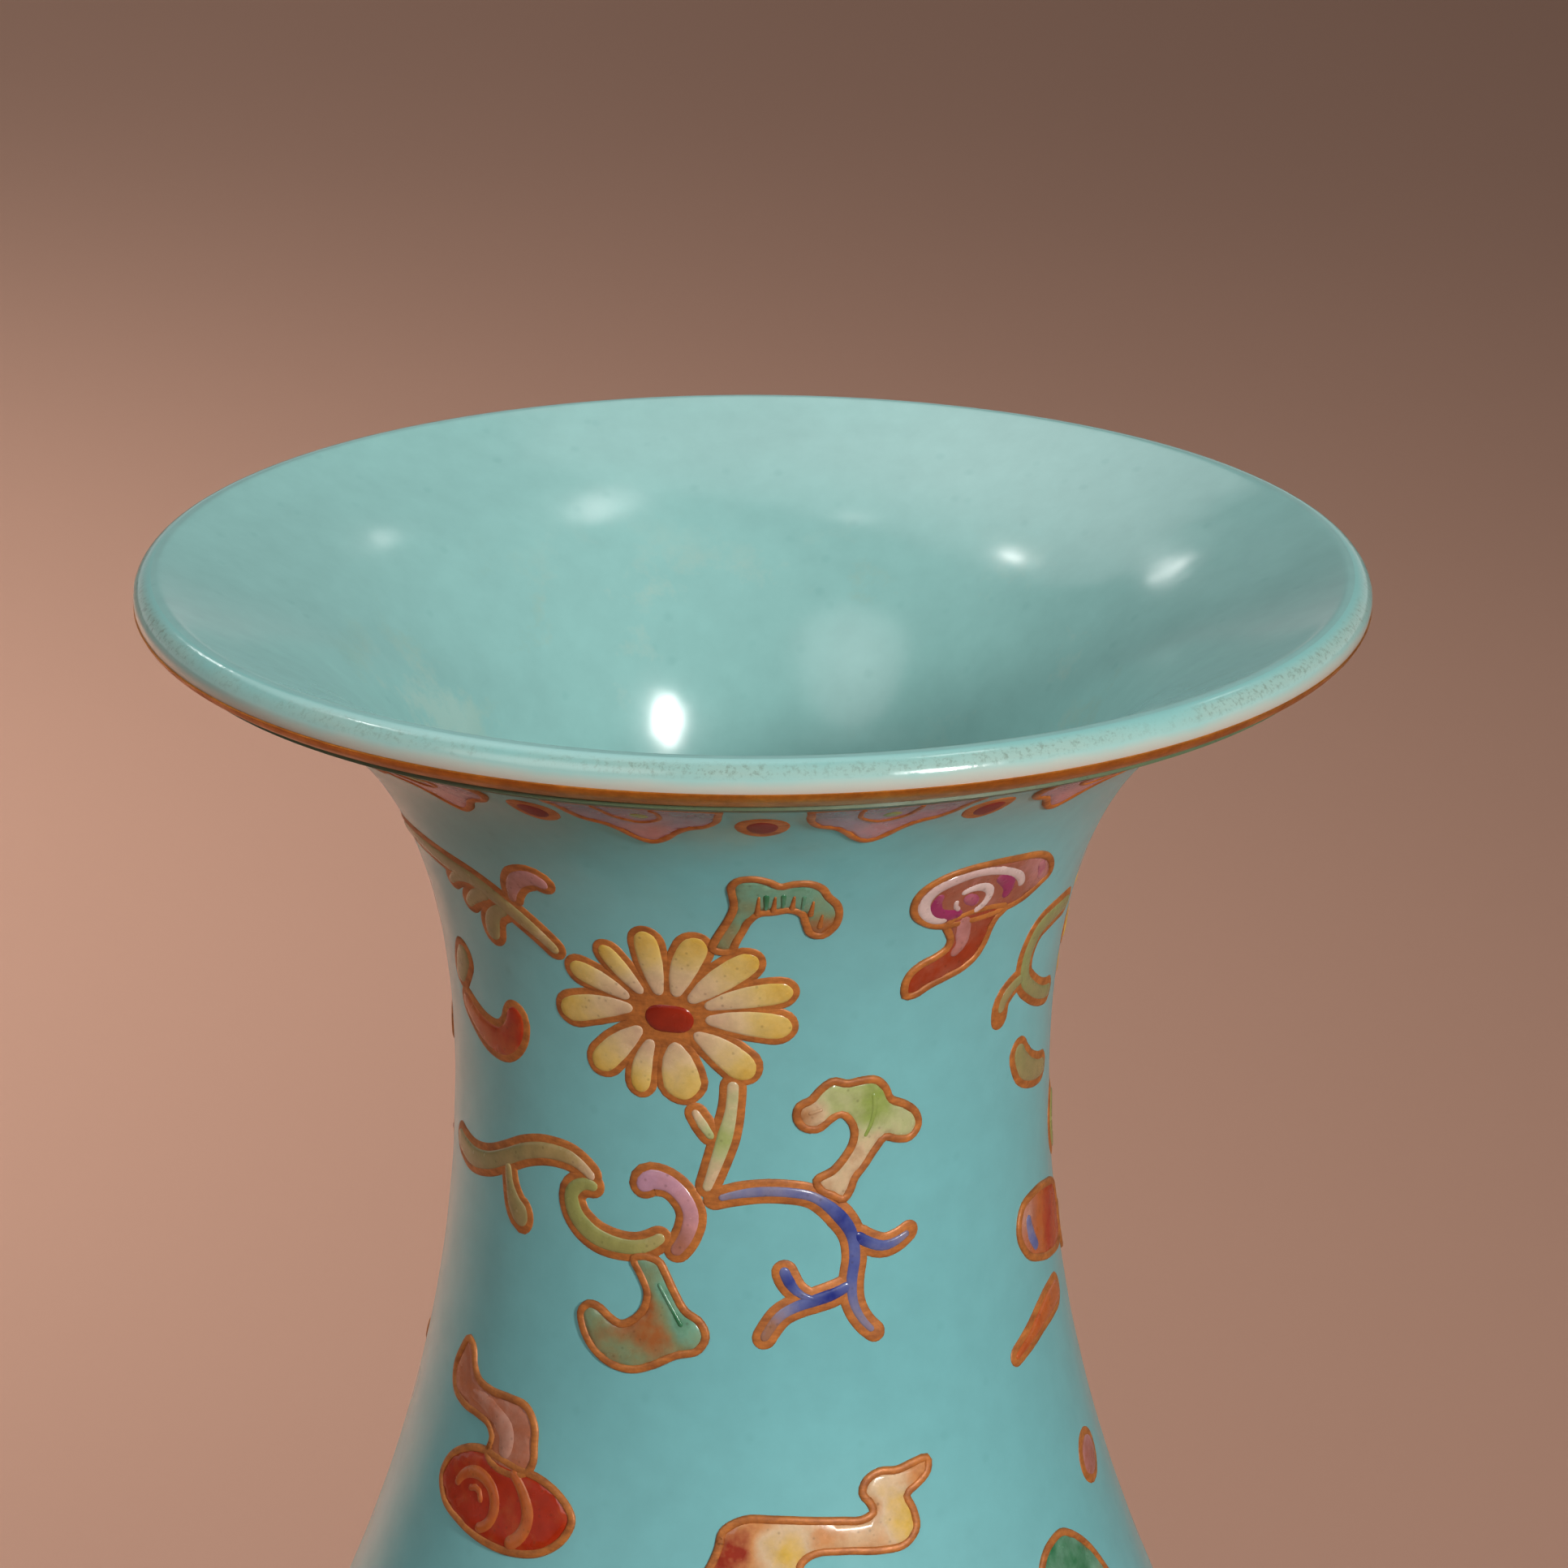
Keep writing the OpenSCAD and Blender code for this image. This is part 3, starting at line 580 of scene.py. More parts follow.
# Scrolls and hooks between one spray and the next
LEFT_WING = [
    ("vines", (0.2, 0.6, 0.7, 0.6), (0.9, 1.4, 1.6, 1.6, 1.3, 1.1),
     [(-12.8, 15.4), (-14.4, 16.9), (-16.2, 18.2), (-18.5, 19.5), (-21.5, 20.2), (-25.0, 20.6),
      (-28.0, 20.4)]),
    ("vines", (0.5, 0.65), (1.0, 1.2, 1.7, 1.5),
     [(-16.4, 17.9), (-17.7, 17.2), (-18.4, 16.0), (-18.6, 14.7)]),
    ("vines", (0.55, 0.45), (1.1, 1.2, 0.8), [(-17.8, 18.8), (-19.3, 18.1), (-20.6, 16.9)]),
    ("vines", (0.6, 0.5), (1.1, 1.0, 0.6), [(-19.0, 19.6), (-20.8, 19.2), (-22.0, 18.3)]),
    ("curls", (0.0, 0.2, 0.4), (0.7, 1.2, 1.5, 1.5, 1.2),
     [(-15.5, 19.0), (-15.1, 20.4), (-14.2, 21.5), (-13.0, 21.9), (-12.3, 21.2)]),
    ("vines", (0.6, 0.7), (1.8, 2.0, 1.5), [(-23.2, 12.2), (-24.4, 10.8), (-25.4, 9.2)]),
    ("red_cloud", (0.5, 0.2, 0.0), (1.5, 1.8, 2.1, 2.2, 2.1, 1.8),
     [(-25.0, 8.2), (-23.5, 7.2), (-21.5, 6.4), (-19.5, 6.5), (-18.2, 7.8), (-18.0, 9.6)]),
    ("vines", (0.1, 0.5, 0.7, 0.6), (0.7, 1.2, 1.3, 1.3, 1.3, 1.5, 1.8, 1.5),
     [(-11.3, -1.7), (-13.0, -0.6), (-15.2, -0.5), (-17.4, -1.1), (-19.6, -2.2), (-22.3, -3.4),
      (-25.0, -3.9), (-28.0, -3.4)]),
    ("vines", (0.45, 0.55), (0.8, 1.0, 1.8, 2.2),
     [(-19.4, -2.6), (-19.1, -4.4), (-18.4, -5.7), (-17.2, -6.3)]),
]
RIGHT_WING = [
    ("vines", (0.8, 0.9, 0.7), (1.2, 1.4, 1.6, 1.3, 1.2, 1.1, 1.1),
     [(27.5, 14.6), (24.8, 14.8), (22.4, 14.2), (21.6, 12.5), (21.9, 10.6), (23.4, 9.3), (27.5, 7.8)]),
    ("vines", (0.8, 0.4), (0.9, 1.1, 0.8),
     [(21.5, 10.8), (20.2, 10.4), (19.4, 9.6), (19.3, 8.8)], (0.0, 0.8)),
    ("vines", (0.7, 0.5), (1.4, 2.0, 1.6, 1.3), [(22.2, 5.4), (23.2, 3.6), (25.4, 2.4), (27.8, 2.0)]),
    ("red_cloud", (0.3, 0.5), (0.5, 1.1, 1.8, 1.8),
     [(20.3, -17.4), (22.4, -16.6), (24.5, -15.8), (28.5, -15.3)]),
    ("pink_cloud", (0.4, 0.5), (2.4, 3.0, 2.4), [(26.4, -28.6), (27.5, -28.0), (28.8, -27.2)]),
]
RED_LEAF = (
    "red_cloud", [(23.0, -8.2, 0.9), (25.0, -10.4, 0.5), (27.5, -10.0, 0.0), (30.0, -10.0, 0.1)],
    [(22.3, -8.8), (23.0, -7.2), (25.0, -6.8), (28.0, -7.2), (31.0, -8.5), (31.0, -12.5), (28.0, -12.4),
     (25.5, -11.8), (23.4, -10.8)])
LOW_LEAF = (
    "leaves", [(21.4, -34.0, 0.9), (19.0, -37.0, 0.6), (24.0, -36.5, 0.6)],
    [(17.6, -37.0), (18.4, -33.6), (19.8, -31.4), (21.4, -30.9), (23.0, -32.0), (24.6, -34.4),
     (25.4, -37.5), (22.0, -39.5), (19.0, -39.0)])
# Collar, about the middle of a head
HEAD = (
    "heads", [(-4.4, 1.5, 0.1), (4.4, 1.5, 0.1), (0.0, 3.2, 0.2), (-2.6, -1.4, 0.5), (2.6, -1.4, 0.5),
              (0.0, -3.6, 1.0)],
    [(-5.2, 3.6), (-5.2, 1.0), (-5.0, -1.0), (-4.4, -2.2), (-3.1, -2.9), (-2.2, -3.9), (-1.4, -5.0),
     (-0.1, -5.8), (1.1, -5.1), (2.0, -3.9), (3.0, -2.9), (4.3, -2.2), (5.1, -1.0), (5.4, 1.0),
     (5.4, 3.6), (2.6, 4.0), (0.0, 4.1), (-2.6, 4.0)])
HEAD_ARC = [(-2.2, 3.4), (-2.1, 1.4), (-1.7, -0.4), (-0.2, -1.6), (1.3, -0.6), (1.6, 1.4), (1.4, 3.4)]


def flower(chart, lines):
    hx, hy = HEART
    paint(lines).stroke(chart, eased([(hx - 3.2, hy), (hx + 3.2, hy)], 8), (5.0,), GILT_RISE, (0.5, 0.5))
    for root, middle, tip, wide in PETALS:
        start = (root[0] + 0.14 * (hx - root[0]), root[1] + 0.14 * (hy - root[1]))
        widths = (0.7, 0.85 * wide, 1.1 * wide, 1.14 * wide, 0.9 * wide)
        band(chart, lines, "petals", (0.0, 0.2, 0.5, 0.8, 1.0), widths, [start, middle, tip], (0.0, 0.0),
             0.42)
    paint("hearts").stroke(chart, eased([(hx - 1.65, hy), (hx + 1.65, hy)], 8), (2.3,), DETAIL_RISE,
                           (0.2, 0.8))


def spray(chart, lines):
    flower(chart, lines)
    for s in STEMS:
        band(chart, lines, *s)
    for s in (UPPER_LEAF, PALE_LEAF, LOWER_LEAF):
        plate(chart, lines, *s)
    for x, low, high in SPIKES:
        detail(chart, lines, (0.4, 0.6), (0.5, 0.4, 0.2), [(x, low - 0.3), (x + 0.1, high - 0.3)])
    for s in VEINS:
        detail(chart, *s)


def cloud(chart, lines, tail, head, details):
    plate(chart, lines, *tail)
    plate(chart, lines, *head)
    for s in details:
        detail(chart, *s)


def wing(chart, lines, limit):
    """The scrolls on the left of a spray, cut short where the next spray needs the room."""
    for key, tone, widths, points, *tips in LEFT_WING:
        kept = [p for p in points if p[0] > limit]
        if len(kept) > 1:
            band(chart, lines, key, tone, widths, kept, *tips)


def neck():
    """Three sprays. The first one's scrolls on the right replace the second's on the left and its red cloud,
    and the third has no pink cloud, so that the first one's scrolls on the left have room."""
    lines = "neck_lines"
    for k, turn in enumerate(NECK_SPRAYS):
        chart = Chart(turn, 0.0, ref=side.waist_r)
        spray(chart, lines)
        plate(Chart(turn - 0.05 * k, 0.0, ref=side.waist_r), lines, *YELLOW_CLOUD)
        if k != 1:
            cloud(chart, lines, RED_TAIL, RED_HEAD, RED_DETAILS)
            wing(chart, lines, -30 if k == 0 else -20.5)
        if k != 2:
            cloud(chart, lines, PINK_TAIL, PINK_HEAD, PINK_DETAILS)
    front = Chart(0.0, 0.0, ref=side.waist_r)
    for s in RIGHT_WING:
        band(front, lines, *s)
    for s in (RED_LEAF, LOW_LEAF):
        plate(front, lines, *s)
    detail(front, "blue_leaf", (0.4, 0.55), (0.8, 1.3, 0.9), [(23.7, -7.9), (23.9, -9.3), (24.9, -10.8)])


def belly():
    """Larger sprays, with the ends of the left scrolls left out, and a cloud of each kind over each."""
    lines = "belly_lines"
    middle, above = side.v_at(BELLY_SPRAY_Z), side.v_at(BELLY_CLOUD_Z)
    for k in range(BELLY_SPRAYS):
        turn = (k + 0.5) * FULL_TURN / BELLY_SPRAYS
        chart = Chart(turn, middle, BELLY_GROW, BELLY_RADIUS)
        spray(chart, lines)
        wing(chart, lines, -26)
        pink = Chart(turn + 0.34, above, BELLY_CLOUD_GROW, side.radius(above), (15, 19))
        cloud(pink, lines, PINK_TAIL, PINK_HEAD, PINK_DETAILS)
        red = Chart(turn - 0.30, above, BELLY_CLOUD_GROW, side.radius(above), (-17, -25))
        cloud(red, lines, RED_TAIL, RED_HEAD, RED_DETAILS)


def collar():
    lines = "collar_lines"
    for k in range(COLLAR_HEADS):
        turn = COLLAR_TURN + k * FULL_TURN / COLLAR_HEADS
        drop = Chart(turn, COLLAR_V - 2.3)
        band(drop, lines, "drops", (0.2, 0.5, 0.2), (1.8, 2.3, 1.9), [(0, 1.4), (0, 0), (0, -1.4)],
             (0.0, 0.0), 0.7)
        head = Chart(turn + FULL_TURN / COLLAR_HEADS / 2, COLLAR_V)
        plate(head, lines, *HEAD)
        detail(head, lines, (0.4, 0.6), (0.45,), HEAD_ARC)
        detail(head, "dots", (0.3, 0.7), (1.4, 1.6), [(0.2, 1.2), (0.2, -0.5)])


def lappets():
    for k in range(LAPPETS):
        chart = Chart(k * FULL_TURN / LAPPETS, side.v_at(LAPPET_Z))
        widths = (8.6, 9.4, 8.6, 5.4, 0.8)
        band(chart, "belly_lines", "panels", (0.2, 0.5, 0.9), widths, [(0, -8.2), (0, 9.4)], (0.0, 0.0),
             0.8)
        detail(chart, "panel_hearts", (0.2, 0.9), (3.4, 4.6, 3.6, 0.6), [(0, -5.4), (0, 4.4)])


neck()
belly()
collar()
lappets()

# ---------------------------------------------------------------- materials

def graph(name):
    """A new material: itself, its tree, its shader and the object coordinates."""
    material = bpy.data.materials.new(name)
    material.use_nodes = True
    nodes = material.node_tree.nodes
    nodes.clear()
    shader = nodes.new("ShaderNodeBsdfPrincipled")
    out = nodes.new("ShaderNodeOutputMaterial")
    material.node_tree.links.new(shader.outputs["BSDF"], out.inputs["Surface"])
    place = nodes.new("ShaderNodeTexCoord")
    return material, material.node_tree, shader, place.outputs["Object"]


def noise(tree, place, scale, fine=3.0, rough=0.5, stretch=None):
    if stretch:
        mapping = tree.nodes.new("ShaderNodeMapping")
        mapping.inputs["Scale"].default_value = stretch
        tree.links.new(place, mapping.inputs["Vector"])
        place = mapping.outputs["Vector"]
    node = tree.nodes.new("ShaderNodeTexNoise")
    node.inputs["Scale"].default_value = scale
    node.inputs["Detail"].default_value = fine
    node.inputs["Roughness"].default_value = rough
    tree.links.new(place, node.inputs["Vector"])
    return node.outputs["Fac"]


def ramp(tree, value, stops):
    node = tree.nodes.new("ShaderNodeValToRGB")
    marks = node.color_ramp.elements
    while len(marks) < len(stops):
        marks.new(0.5)
    for mark, (at, colour) in zip(marks, stops):
        mark.position = at
        mark.color = colour
    tree.links.new(value, node.inputs["Fac"])
    return node.outputs["Color"]


def blend(tree, kind, share, a, b):
    node = tree.nodes.new("ShaderNodeMix")
    node.data_type = "RGBA"
    node.blend_type = kind
    for socket, value in ((node.inputs[0], share), (node.inputs[6], a), (node.inputs[7], b)):
        if isinstance(value, bpy.types.NodeSocket):
            tree.links.new(value, socket)
        else:
            socket.default_value = value
    return node.outputs[2]


def scaled(tree, value, low, high, to_low, to_high):
    node = tree.nodes.new("ShaderNodeMapRange")
    for key, number in (("From Min", low), ("From Max", high), ("To Min", to_low), ("To Max", to_high)):
        node.inputs[key].default_value = number
    tree.links.new(value, node.inputs["Value"])
    return node.outputs["Result"]


def bumped(tree, shader, height, strength, distance):
    node = tree.nodes.new("ShaderNodeBump")
    node.inputs["Strength"].default_value = strength
    node.inputs["Distance"].default_value = distance
    tree.links.new(height, node.inputs["Height"])
    tree.links.new(node.outputs["Normal"], shader.inputs["Normal"])


def grey(v):
    return (v, v, v, 1.0)


def turquoise(name, colour, rough, worn=0.0):
    """Opaque ground enamel: pooling, fine mottling and specks under a glossy, faintly rippled skin.

    Where it is worn, it has pale and brownish rubs in a belt below the lip.
    """
    material, tree, shader, place = graph(name)
    pool = ramp(tree, noise(tree, place, 38, 4), [(0.3, grey(0.93)), (0.7, grey(1.06))])
    mottle = ramp(tree, noise(tree, place, 420, 3, 0.6), [(0.3, grey(0.95)), (0.7, grey(1.04))])
    base = blend(tree, "MULTIPLY", 1.0, lin(*colour), pool)
    base = blend(tree, "MULTIPLY", 0.8, base, mottle)
    dots = tree.nodes.new("ShaderNodeTexVoronoi")
    dots.inputs["Scale"].default_value = 330
    tree.links.new(place, dots.inputs["Vector"])
    speck = scaled(tree, dots.outputs["Distance"], 0.05, 0.16, 0.10, 0.0)
    base = blend(tree, "MIX", speck, base, lin(70, 130, 128))
    if worn:
        level = tree.nodes.new("ShaderNodeSeparateXYZ")
        tree.links.new(place, level.inputs[0])
        depth = scaled(tree, level.outputs["Z"], TOP - 26 * MM, TOP - 4 * MM, 0, 1)
        belt = ramp(tree, depth, [(0.2, grey(0)), (0.5, grey(1)), (0.75, grey(1)), (0.95, grey(0))])
        rub = ramp(tree, noise(tree, place, 85, 6, 0.7), [(0.53, grey(0)), (0.63, grey(1))])
        hue = ramp(tree, noise(tree, place, 30, 2),
                   [(0.46, lin(172, 196, 184)), (0.56, lin(136, 166, 146))])
        share = scaled(tree, blend(tree, "MULTIPLY", 1.0, rub, belt), 0.0, 1.0, 0.0, worn)
        base = blend(tree, "MIX", share, base, hue)
    tree.links.new(base, shader.inputs["Base Color"])
    gloss = scaled(tree, noise(tree, place, 160, 3), 0.3, 0.7, rough - 0.04, rough + 0.05)
    tree.links.new(gloss, shader.inputs["Roughness"])
    shader.inputs["IOR"].default_value = 1.52
    bumped(tree, shader, noise(tree, place, 210, 2, 0.4), 0.10, 0.0004)
    return material


def wandering_tone(tree, wander):
    """The tone painted on a piece, and the same with a wandering value added."""
    tone = tree.nodes.new("ShaderNodeAttribute")
    tone.attribute_name = "tone"
    total = tree.nodes.new("ShaderNodeMath")
    total.operation = "ADD"
    tree.links.new(tone.outputs["Fac"], total.inputs[0])
    tree.links.new(wander, total.inputs[1])
    return tone.outputs["Fac"], total.outputs[0]


def painted(name, stops, rough=0.22):
    """Painted enamel: its colour runs along each stroke, thin and thick by turns, with fine flecks."""
    material, tree, shader, place = graph(name)
    wander = scaled(tree, noise(tree, place, 520, 3, 0.6), 0.3, 0.7, -0.14, 0.14)
    tone = wandering_tone(tree, wander)[1]
    base = ramp(tree, tone, [(at, lin(*colour)) for at, colour in stops])
    thin = ramp(tree, noise(tree, place, 900, 4, 0.7), [(0.32, grey(0.86)), (0.62, grey(1.05))])
    base = blend(tree, "MULTIPLY", 0.9, base, thin)
    dots = tree.nodes.new("ShaderNodeTexVoronoi")
    dots.inputs["Scale"].default_value = 1400
    tree.links.new(place, dots.inputs["Vector"])
    fleck = scaled(tree, dots.outputs["Distance"], 0.06, 0.2, 0.3, 0.0)
    tree.links.new(blend(tree, "MIX", fleck, base, lin(60, 40, 20)), shader.inputs["Base Color"])
    gloss = scaled(tree, noise(tree, place, 700, 2), 0.3, 0.7, rough - 0.05, rough + 0.08)
    tree.links.new(gloss, shader.inputs["Roughness"])
    shader.inputs["IOR"].default_value = 1.5
    bumped(tree, shader, noise(tree, place, 1100, 3, 0.6), 0.15, 0.0001)
    return material


def gilding(name, light, dark, metal, rough, scale):
    """Gold brushed on by hand and rubbed since: warmer and browner where it is thin."""
    material, tree, shader, place = graph(name)
    streak = noise(tree, place, scale, 5, 0.65, (1, 1, 3))
    base = ramp(tree, streak, [(0.34, lin(*dark)), (0.62, lin(*light))])
    fine = ramp(tree, noise(tree, place, scale * 6, 3, 0.7), [(0.3, grey(0.8)), (0.65, grey(1.1))])
    tree.links.new(blend(tree, "MULTIPLY", 0.8, base, fine), shader.inputs["Base Color"])
    tree.links.new(scaled(tree, streak, 0.3, 0.7, rough + 0.14, rough - 0.06), shader.inputs["Roughness"])
    shader.inputs["Metallic"].default_value = metal
    bumped(tree, shader, noise(tree, place, scale * 4, 4, 0.7), 0.2, 0.00012)
    return material


def lip_glaze():
    """Clear glaze over white clay where turquoise has run thin: tinted at the crest, white below, rubbed."""
    material, tree, shader, place = graph("lip_glaze")
    wander = scaled(tree, noise(tree, place, 90, 5, 0.6), 0.3, 0.7, -0.12, 0.12)
    height, tone = wandering_tone(tree, wander)
    tints = ((0.0, (200, 194, 182)), (0.28, (188, 200, 190)), (0.5, (160, 202, 196)),
             (0.85, (138, 194, 190)))
    base = ramp(tree, tone, [(at, lin(*colour)) for at, colour in tints])
    belt = ramp(tree, height, [(0.45, grey(0)), (0.66, grey(0.8)), (0.84, grey(0.8)), (0.97, grey(0))])
    patch = ramp(tree, noise(tree, place, 60, 3, 0.6), [(0.35, grey(0)), (0.55, grey(1))])
    rub = blend(tree, "MULTIPLY", 1.0, belt, patch)
    base = blend(tree, "MIX", blend(tree, "MULTIPLY", 1.0, rub, grey(0.55)), base, lin(172, 186, 172))
    worn = ramp(tree, noise(tree, place, 2300, 5, 0.75), [(0.5, grey(0)), (0.62, grey(0.7))])
    base = blend(tree, "MIX", blend(tree, "MULTIPLY", 1.0, worn, rub), base, lin(116, 132, 118))
    tree.links.new(base, shader.inputs["Base Color"])
    tree.links.new(scaled(tree, noise(tree, place, 500, 3), 0.3, 0.7, 0.08, 0.2),
                   shader.inputs["Roughness"])
    shader.inputs["IOR"].default_value = 1.5
    bumped(tree, shader, noise(tree, place, 700, 4, 0.6), 0.14, 0.00015)
    return material


def clay(name, colour):
    """Bare unglazed porcelain: fine sandy grain, with rust-coloured freckles."""
    material, tree, shader, place = graph(name)
    grain = ramp(tree, noise(tree, place, 1500, 5, 0.7), [(0.3, grey(0.84)), (0.7, grey(1.05))])
    base = blend(tree, "MULTIPLY", 1.0, lin(*colour), grain)
    rust = ramp(tree, noise(tree, place, 120, 4, 0.6), [(0.56, grey(0)), (0.74, grey(1))])
    base = blend(tree, "MIX", blend(tree, "MULTIPLY", 1.0, rust, grey(0.5)), base, lin(170, 120, 80))
    tree.links.new(base, shader.inputs["Base Color"])
    shader.inputs["Roughness"].default_value = 0.75
    bumped(tree, shader, noise(tree, place, 1800, 4, 0.7), 0.35, 0.0002)
    return material


ground = turquoise("turquoise_ground", TURQUOISE, 0.2)
# The inside's turquoise is painted paler than the outside's. This is painted light for the brighter mouth,
# which is lit from above and by its own reflections.
inside = turquoise("turquoise_inside_painted_lighter", (142, 190, 186), 0.16, 0.5)
beneath = turquoise("turquoise_beneath", TURQUOISE, 0.2)
rim_gold = gilding("rim_gold", (216, 136, 48), (184, 106, 34), 0.8, 0.34, 260)
foot_gold = gilding("foot_gold", (180, 112, 50), (118, 70, 32), 0.55, 0.32, 200)
line_gold = gilding("line_gold", (194, 118, 54), (152, 86, 36), 0.15, 0.46, 500)
collar_gold = gilding("collar_gold", (206, 122, 44), (172, 92, 30), 0.2, 0.44, 500)

# ---------------------------------------------------------------- skins and pieces

gold_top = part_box("lip_gilding")[1].z


def lip_tone(r, z):
    """0 at the gold line and 1 at the crest of the lip."""
    return min(1.0, max(0.0, (z - gold_top) / (TOP - gold_top)))


turned("foot_rim", "lower_body", "porcelain", clay("bare_porcelain", (206, 196, 180)), 2)
turned("lip_and_glaze", "glaze", "clear_glaze", lip_glaze(), 3, lip_tone, gold_top - 4 * MM)
turned("glaze_beneath", "base_glaze", "clear_glaze", clay("glaze_beneath", (200, 200, 190)))
turned("outside_ground", "outer_enamel", "turquoise_enamel", ground)
turned("inside_ground", "inner_enamel", "turquoise_enamel", inside, 2)
turned("ground_beneath", "base_enamel", "turquoise_enamel", beneath)
turned("rim_gilding", "lip_gilding", "gold", rim_gold, 4)
turned("foot_line", "foot_gilding", "gold", foot_gold)
# A thin dull grey-green ring just below the rim gold. It is partly a painted green line and partly painted
# shade under the gold, so its colour is kept dark and near the turquoise's grey.
olive = painted("olive_enamel_and_shade", [(0.0, (88, 106, 74)), (1.0, (98, 122, 92))], 0.45)
turned("rim_olive", "olive_line", "green_enamel", olive)

THROWN, SLIP = (208, 200, 186), (214, 204, 184)
CLAY = {"upper_body": THROWN, "neck_and_mouth": THROWN, "belly_joint": SLIP, "neck_joint": SLIP}
for node, colour in CLAY.items():
    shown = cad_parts[node]
    shown.data.materials.clear()
    shown.data.materials.append(clay(node + "_clay", colour))

# Pieces drawn here: paint, name, slot, CAD nodes that it stands for, colours by tone
PIECES = [
    ("petals", "flower_petals", "yellow_enamel", ("flower_petals",),
     [(0.0, (200, 166, 134)), (0.35, (212, 184, 138)), (0.7, (212, 182, 108)), (1.0, (208, 168, 74))]),
    ("hearts", "flower_hearts", "red_enamel", ("flower_hearts",),
     [(0.0, (126, 24, 8)), (1.0, (160, 44, 18))]),
    ("leaves", "teal_leaves", "green_enamel", ("green_leaves",),
     [(0.0, (160, 95, 50)), (0.35, (130, 138, 100)), (0.65, (112, 158, 132)), (1.0, (46, 112, 72))]),
    ("pale_leaves", "pale_leaves", "green_enamel", (),
     [(0.0, (166, 108, 60)), (0.3, (206, 178, 142)), (0.6, (180, 182, 132)), (1.0, (140, 158, 78))]),
    ("blue_leaf", "blue_leaves", "blue_enamel", ("blue_leaves",),
     [(0.0, (156, 110, 84)), (0.35, (128, 124, 150)), (0.65, (88, 98, 154)), (1.0, (34, 48, 126))]),
    ("vines", "vines", "green_enamel", ("vines",),
     [(0.0, (204, 170, 140)), (0.3, (172, 148, 96)), (0.6, (148, 134, 88)), (1.0, (138, 144, 90))]),
    ("curls", "pink_curls", "pink_enamel", ("pink_curls",),
     [(0.0, (158, 100, 78)), (0.4, (190, 134, 134)), (1.0, (188, 142, 162))]),
    ("scrolls", "yellow_scrolls", "yellow_enamel", ("yellow_scrolls",),
     [(0.0, (178, 156, 110)), (0.5, (160, 156, 92)), (1.0, (146, 148, 84))]),
    ("pink_cloud", "pink_clouds", "pink_enamel", ("pink_clouds",),
     [(0.0, (150, 50, 16)), (0.35, (156, 92, 72)), (0.65, (186, 126, 124)), (1.0, (150, 44, 92))]),
    ("pale_bands", "cloud_bands", "pink_enamel", (), [(0.0, (192, 140, 136)), (1.0, (212, 186, 180))]),
    ("red_cloud", "red_clouds", "red_enamel", ("red_clouds",),
     [(0.0, (170, 42, 6)), (0.4, (186, 98, 44)), (0.75, (178, 108, 80)), (1.0, (190, 138, 118))]),
    ("yellow_cloud", "yellow_clouds", "yellow_enamel", (),
     [(0.0, (150, 44, 20)), (0.25, (204, 140, 86)), (0.6, (214, 184, 146)), (1.0, (214, 174, 72))]),
    ("heads", "collar_heads", "pink_enamel", ("collar_heads",),
     [(0.0, (140, 98, 122)), (0.5, (182, 126, 146)), (1.0, (204, 134, 142))]),
    ("dots", "collar_dots", "green_enamel", ("collar_dots",),
     [(0.0, (140, 150, 60)), (1.0, (170, 168, 84))]),
    ("drops", "collar_drops", "red_enamel", ("collar_drops",), [(0.0, (146, 26, 2)), (1.0, (122, 16, 0))]),
    ("panels", "lappets", "blue_enamel", ("lappets",),
     [(0.0, (60, 84, 150)), (0.6, (86, 110, 170)), (1.0, (150, 160, 190))]),
    ("panel_hearts", "lappet_hearts", "pink_enamel", (), [(0.0, (176, 70, 96)), (1.0, (214, 160, 160))]),
]
for key, name, slot, nodes, stops in PIECES:
    rough = 0.5 if key == "drops" else 0.22
    paints[key].piece(name, slot, painted(name + "_enamel", stops, rough), *nodes)
paints["neck_lines"].piece("neck_outlines", "gold", line_gold, "flower_rings")
paints["collar_lines"].piece("collar_outlines_gilt", "gold", collar_gold, "collar_outlines")
paints["belly_lines"].piece("belly_outlines", "gold", line_gold)

# ---------------------------------------------------------------- stage, light and camera

def flat_sheet(name, half, material, cells=24):
    """A square sheet on the ground, from -half to half both ways."""
    marks = np.linspace(-half, half, cells + 1)
    verts = [(x, y, 0.0) for x in marks for y in marks]
    row = cells + 1
    corners = [i * row + j for i in range(cells) for j in range(cells)]
    faces = [(c, c + row, c + row + 1, c + 1) for c in corners]
    obj = mesh_object(name, verts, faces)
    obj.data.materials.append(material)


def floor_material():
    material, tree, shader, place = graph("pale_floor")
    soft = ramp(tree, noise(tree, place, 3, 3), [(0.3, grey(0.98)), (0.7, grey(1.02))])
    tree.links.new(blend(tree, "MULTIPLY", 1.0, lin(194, 148, 126), soft), shader.inputs["Base Color"])
    shader.inputs["Roughness"].default_value = 0.9
    return material


flat_sheet("floor", 6.0, floor_material())


def lamp(name, azimuth, elevation, size, power, tall=1.0, spread=70, aim=(0.0, 0.0, TOP), distance=1.5):
    """A soft round light that shines on a place. Azimuth 0 is the viewer's side and 90 is to their right."""
    a, e = math.radians(azimuth), math.radians(elevation)
    way = Vector((math.sin(a) * math.cos(e), -math.cos(a) * math.cos(e), math.sin(e)))
    data = bpy.data.lights.new(name, "AREA")
    data.shape = "ELLIPSE"
    data.size, data.size_y = size, size * tall
    data.energy = power
    data.color = (1.0, 0.985, 0.965)
    data.spread = math.radians(spread)
    obj = bpy.data.objects.new(name, data)
    obj.location = Vector(aim) + way * distance
    obj.rotation_euler = way.to_track_quat("Z", "Y").to_euler()
    bpy.context.scene.collection.objects.link(obj)


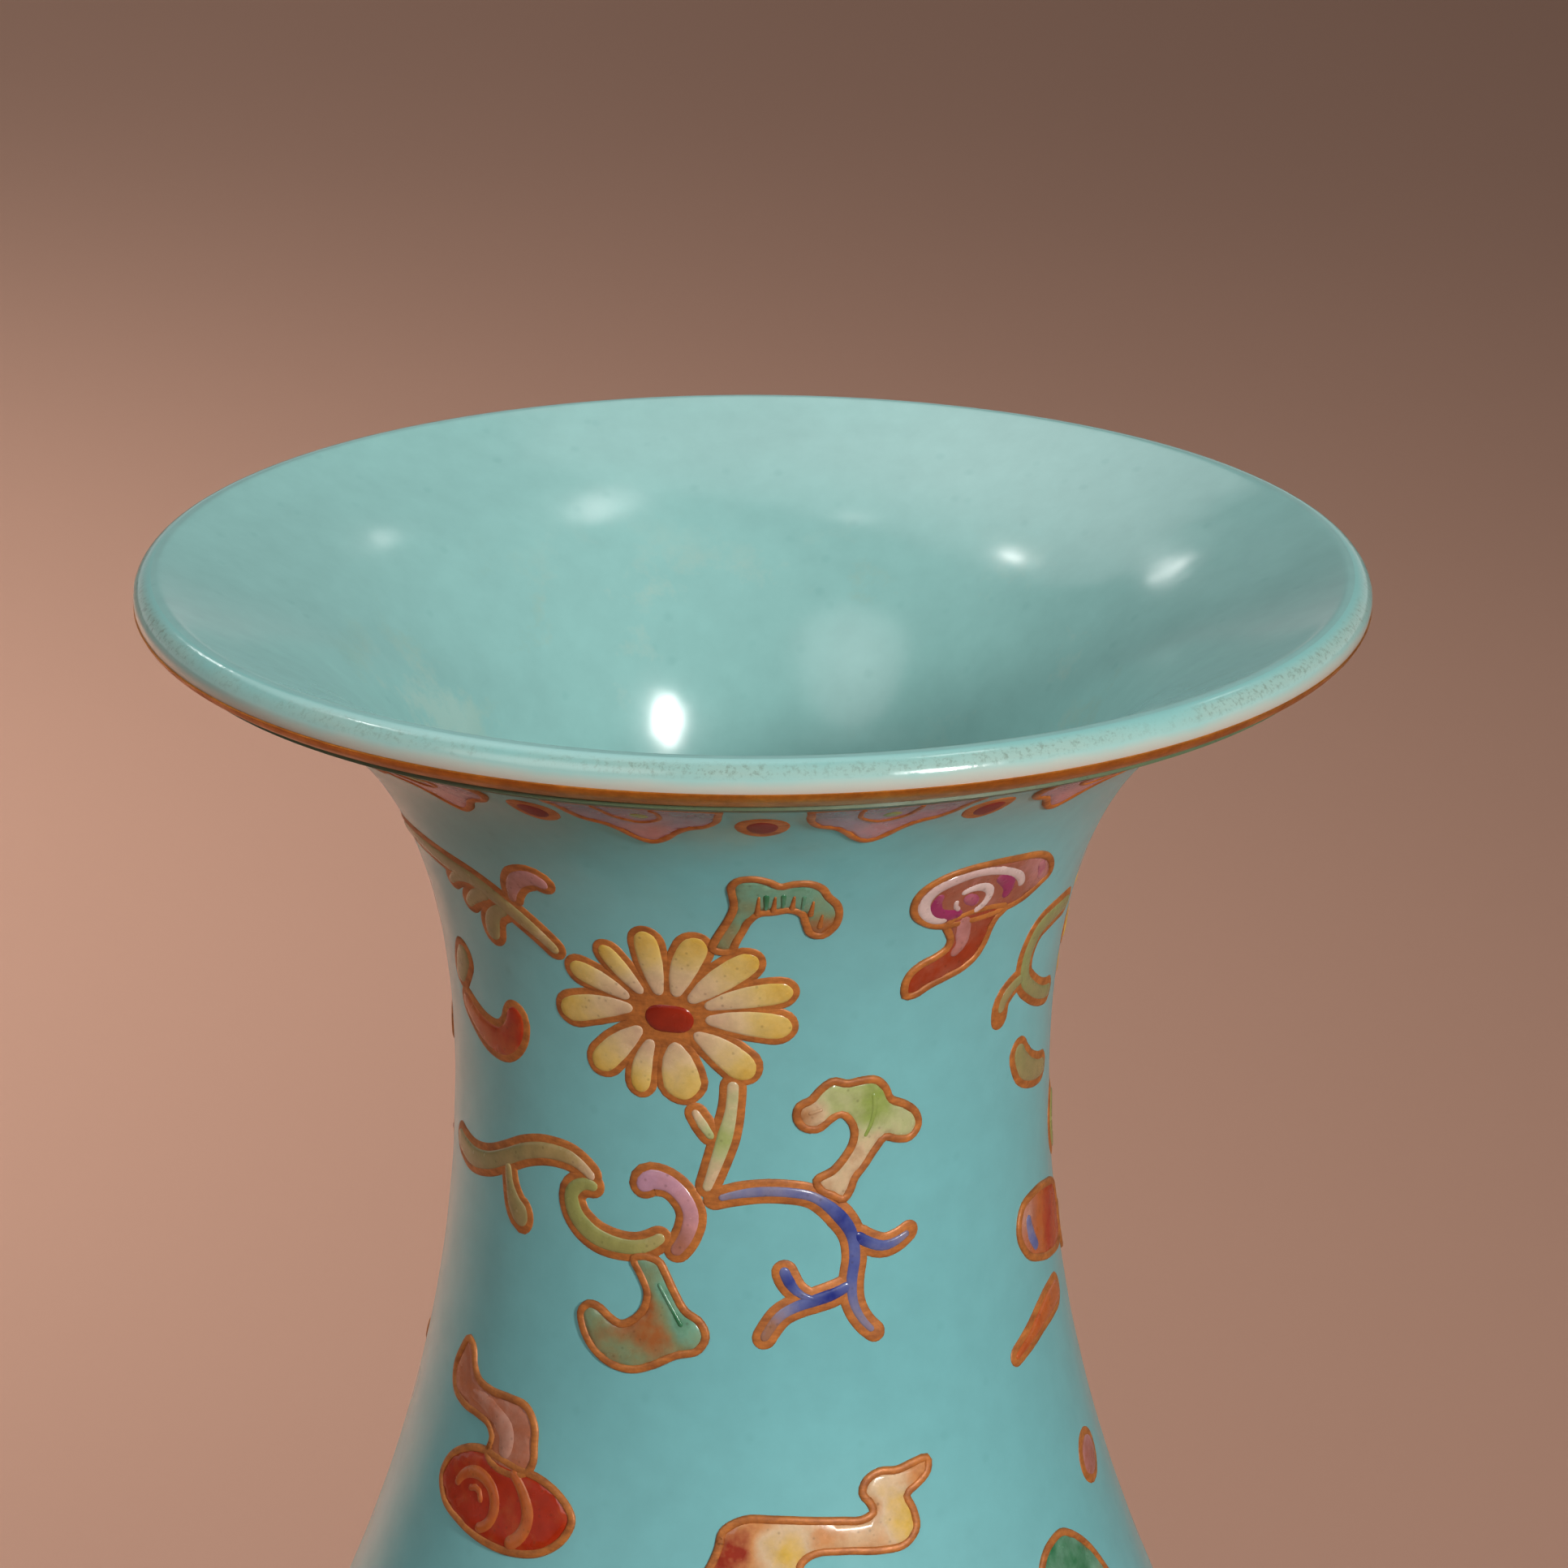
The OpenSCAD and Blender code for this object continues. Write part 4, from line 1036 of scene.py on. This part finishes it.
lamp("front_right", 35, 21, 0.15, 1.0, 1.9, 44)
lamp("front_left", -40, 38, 1.0, 0.88)
lamp("back_left", -119, 53, 0.06, 0.08)
lamp("back_streak", -153, 31, 0.18, 0.05, 0.5)
lamp("back_right", 131, 70, 0.26, 0.10, 0.7)
lamp("high_left", -111, 77, 0.10, 0.015)
lamp("far_right", 149, 41, 0.10, 0.015)
lamp("canopy", -152, 60, 1.4, 1.5)
lamp("floor_pool", -90, 80, 0.4, 1.05, spread=60, aim=(-0.38, 0.62, 0.0), distance=0.85)
lamp("floor_far", -90, 80, 0.6, 1.15, spread=90, aim=(-0.55, 1.50, 0.0), distance=1.2)

# The room: a pale glow along the horizon and very little from above
world = bpy.data.worlds.new("studio")
bpy.context.scene.world = world
world.use_nodes = True
sky = world.node_tree
height_in_sky = sky.nodes.new("ShaderNodeSeparateXYZ")
sky.links.new(sky.nodes.new("ShaderNodeTexCoord").outputs["Generated"], height_in_sky.inputs[0])
HORIZON, LOW_SKY = (0.54, 0.53, 0.52, 1), (0.12, 0.118, 0.116, 1)
glow = ramp(sky, height_in_sky.outputs["Z"], [(0.0, HORIZON), (0.26, LOW_SKY), (1.0, grey(0.125))])
sky.links.new(glow, sky.nodes["Background"].inputs["Color"])
bpy.context.scene.view_settings.view_transform = "Standard"

# The camera looks at the pot's axis, but for a hair, through a lens of 12 degrees
MIDDLE = Vector((0.0022, 0.0, TOP - 0.01628))
TILT = math.radians(19.227)
ROLL = math.radians(0.161)
FAR = 0.52387
camera_data = bpy.data.cameras.new("camera")
camera_data.sensor_width = 36
camera_data.lens = 18 / math.tan(math.radians(6))
camera_data.clip_start = 0.01
camera = bpy.data.objects.new("camera", camera_data)
bpy.context.scene.collection.objects.link(camera)
camera.matrix_world = (Matrix.Translation(MIDDLE + FAR * Vector((0, -math.cos(TILT), math.sin(TILT))))
                       @ Matrix.Rotation(math.pi / 2 - TILT, 4, "X") @ Matrix.Rotation(ROLL, 4, "Z"))
bpy.context.scene.camera = camera
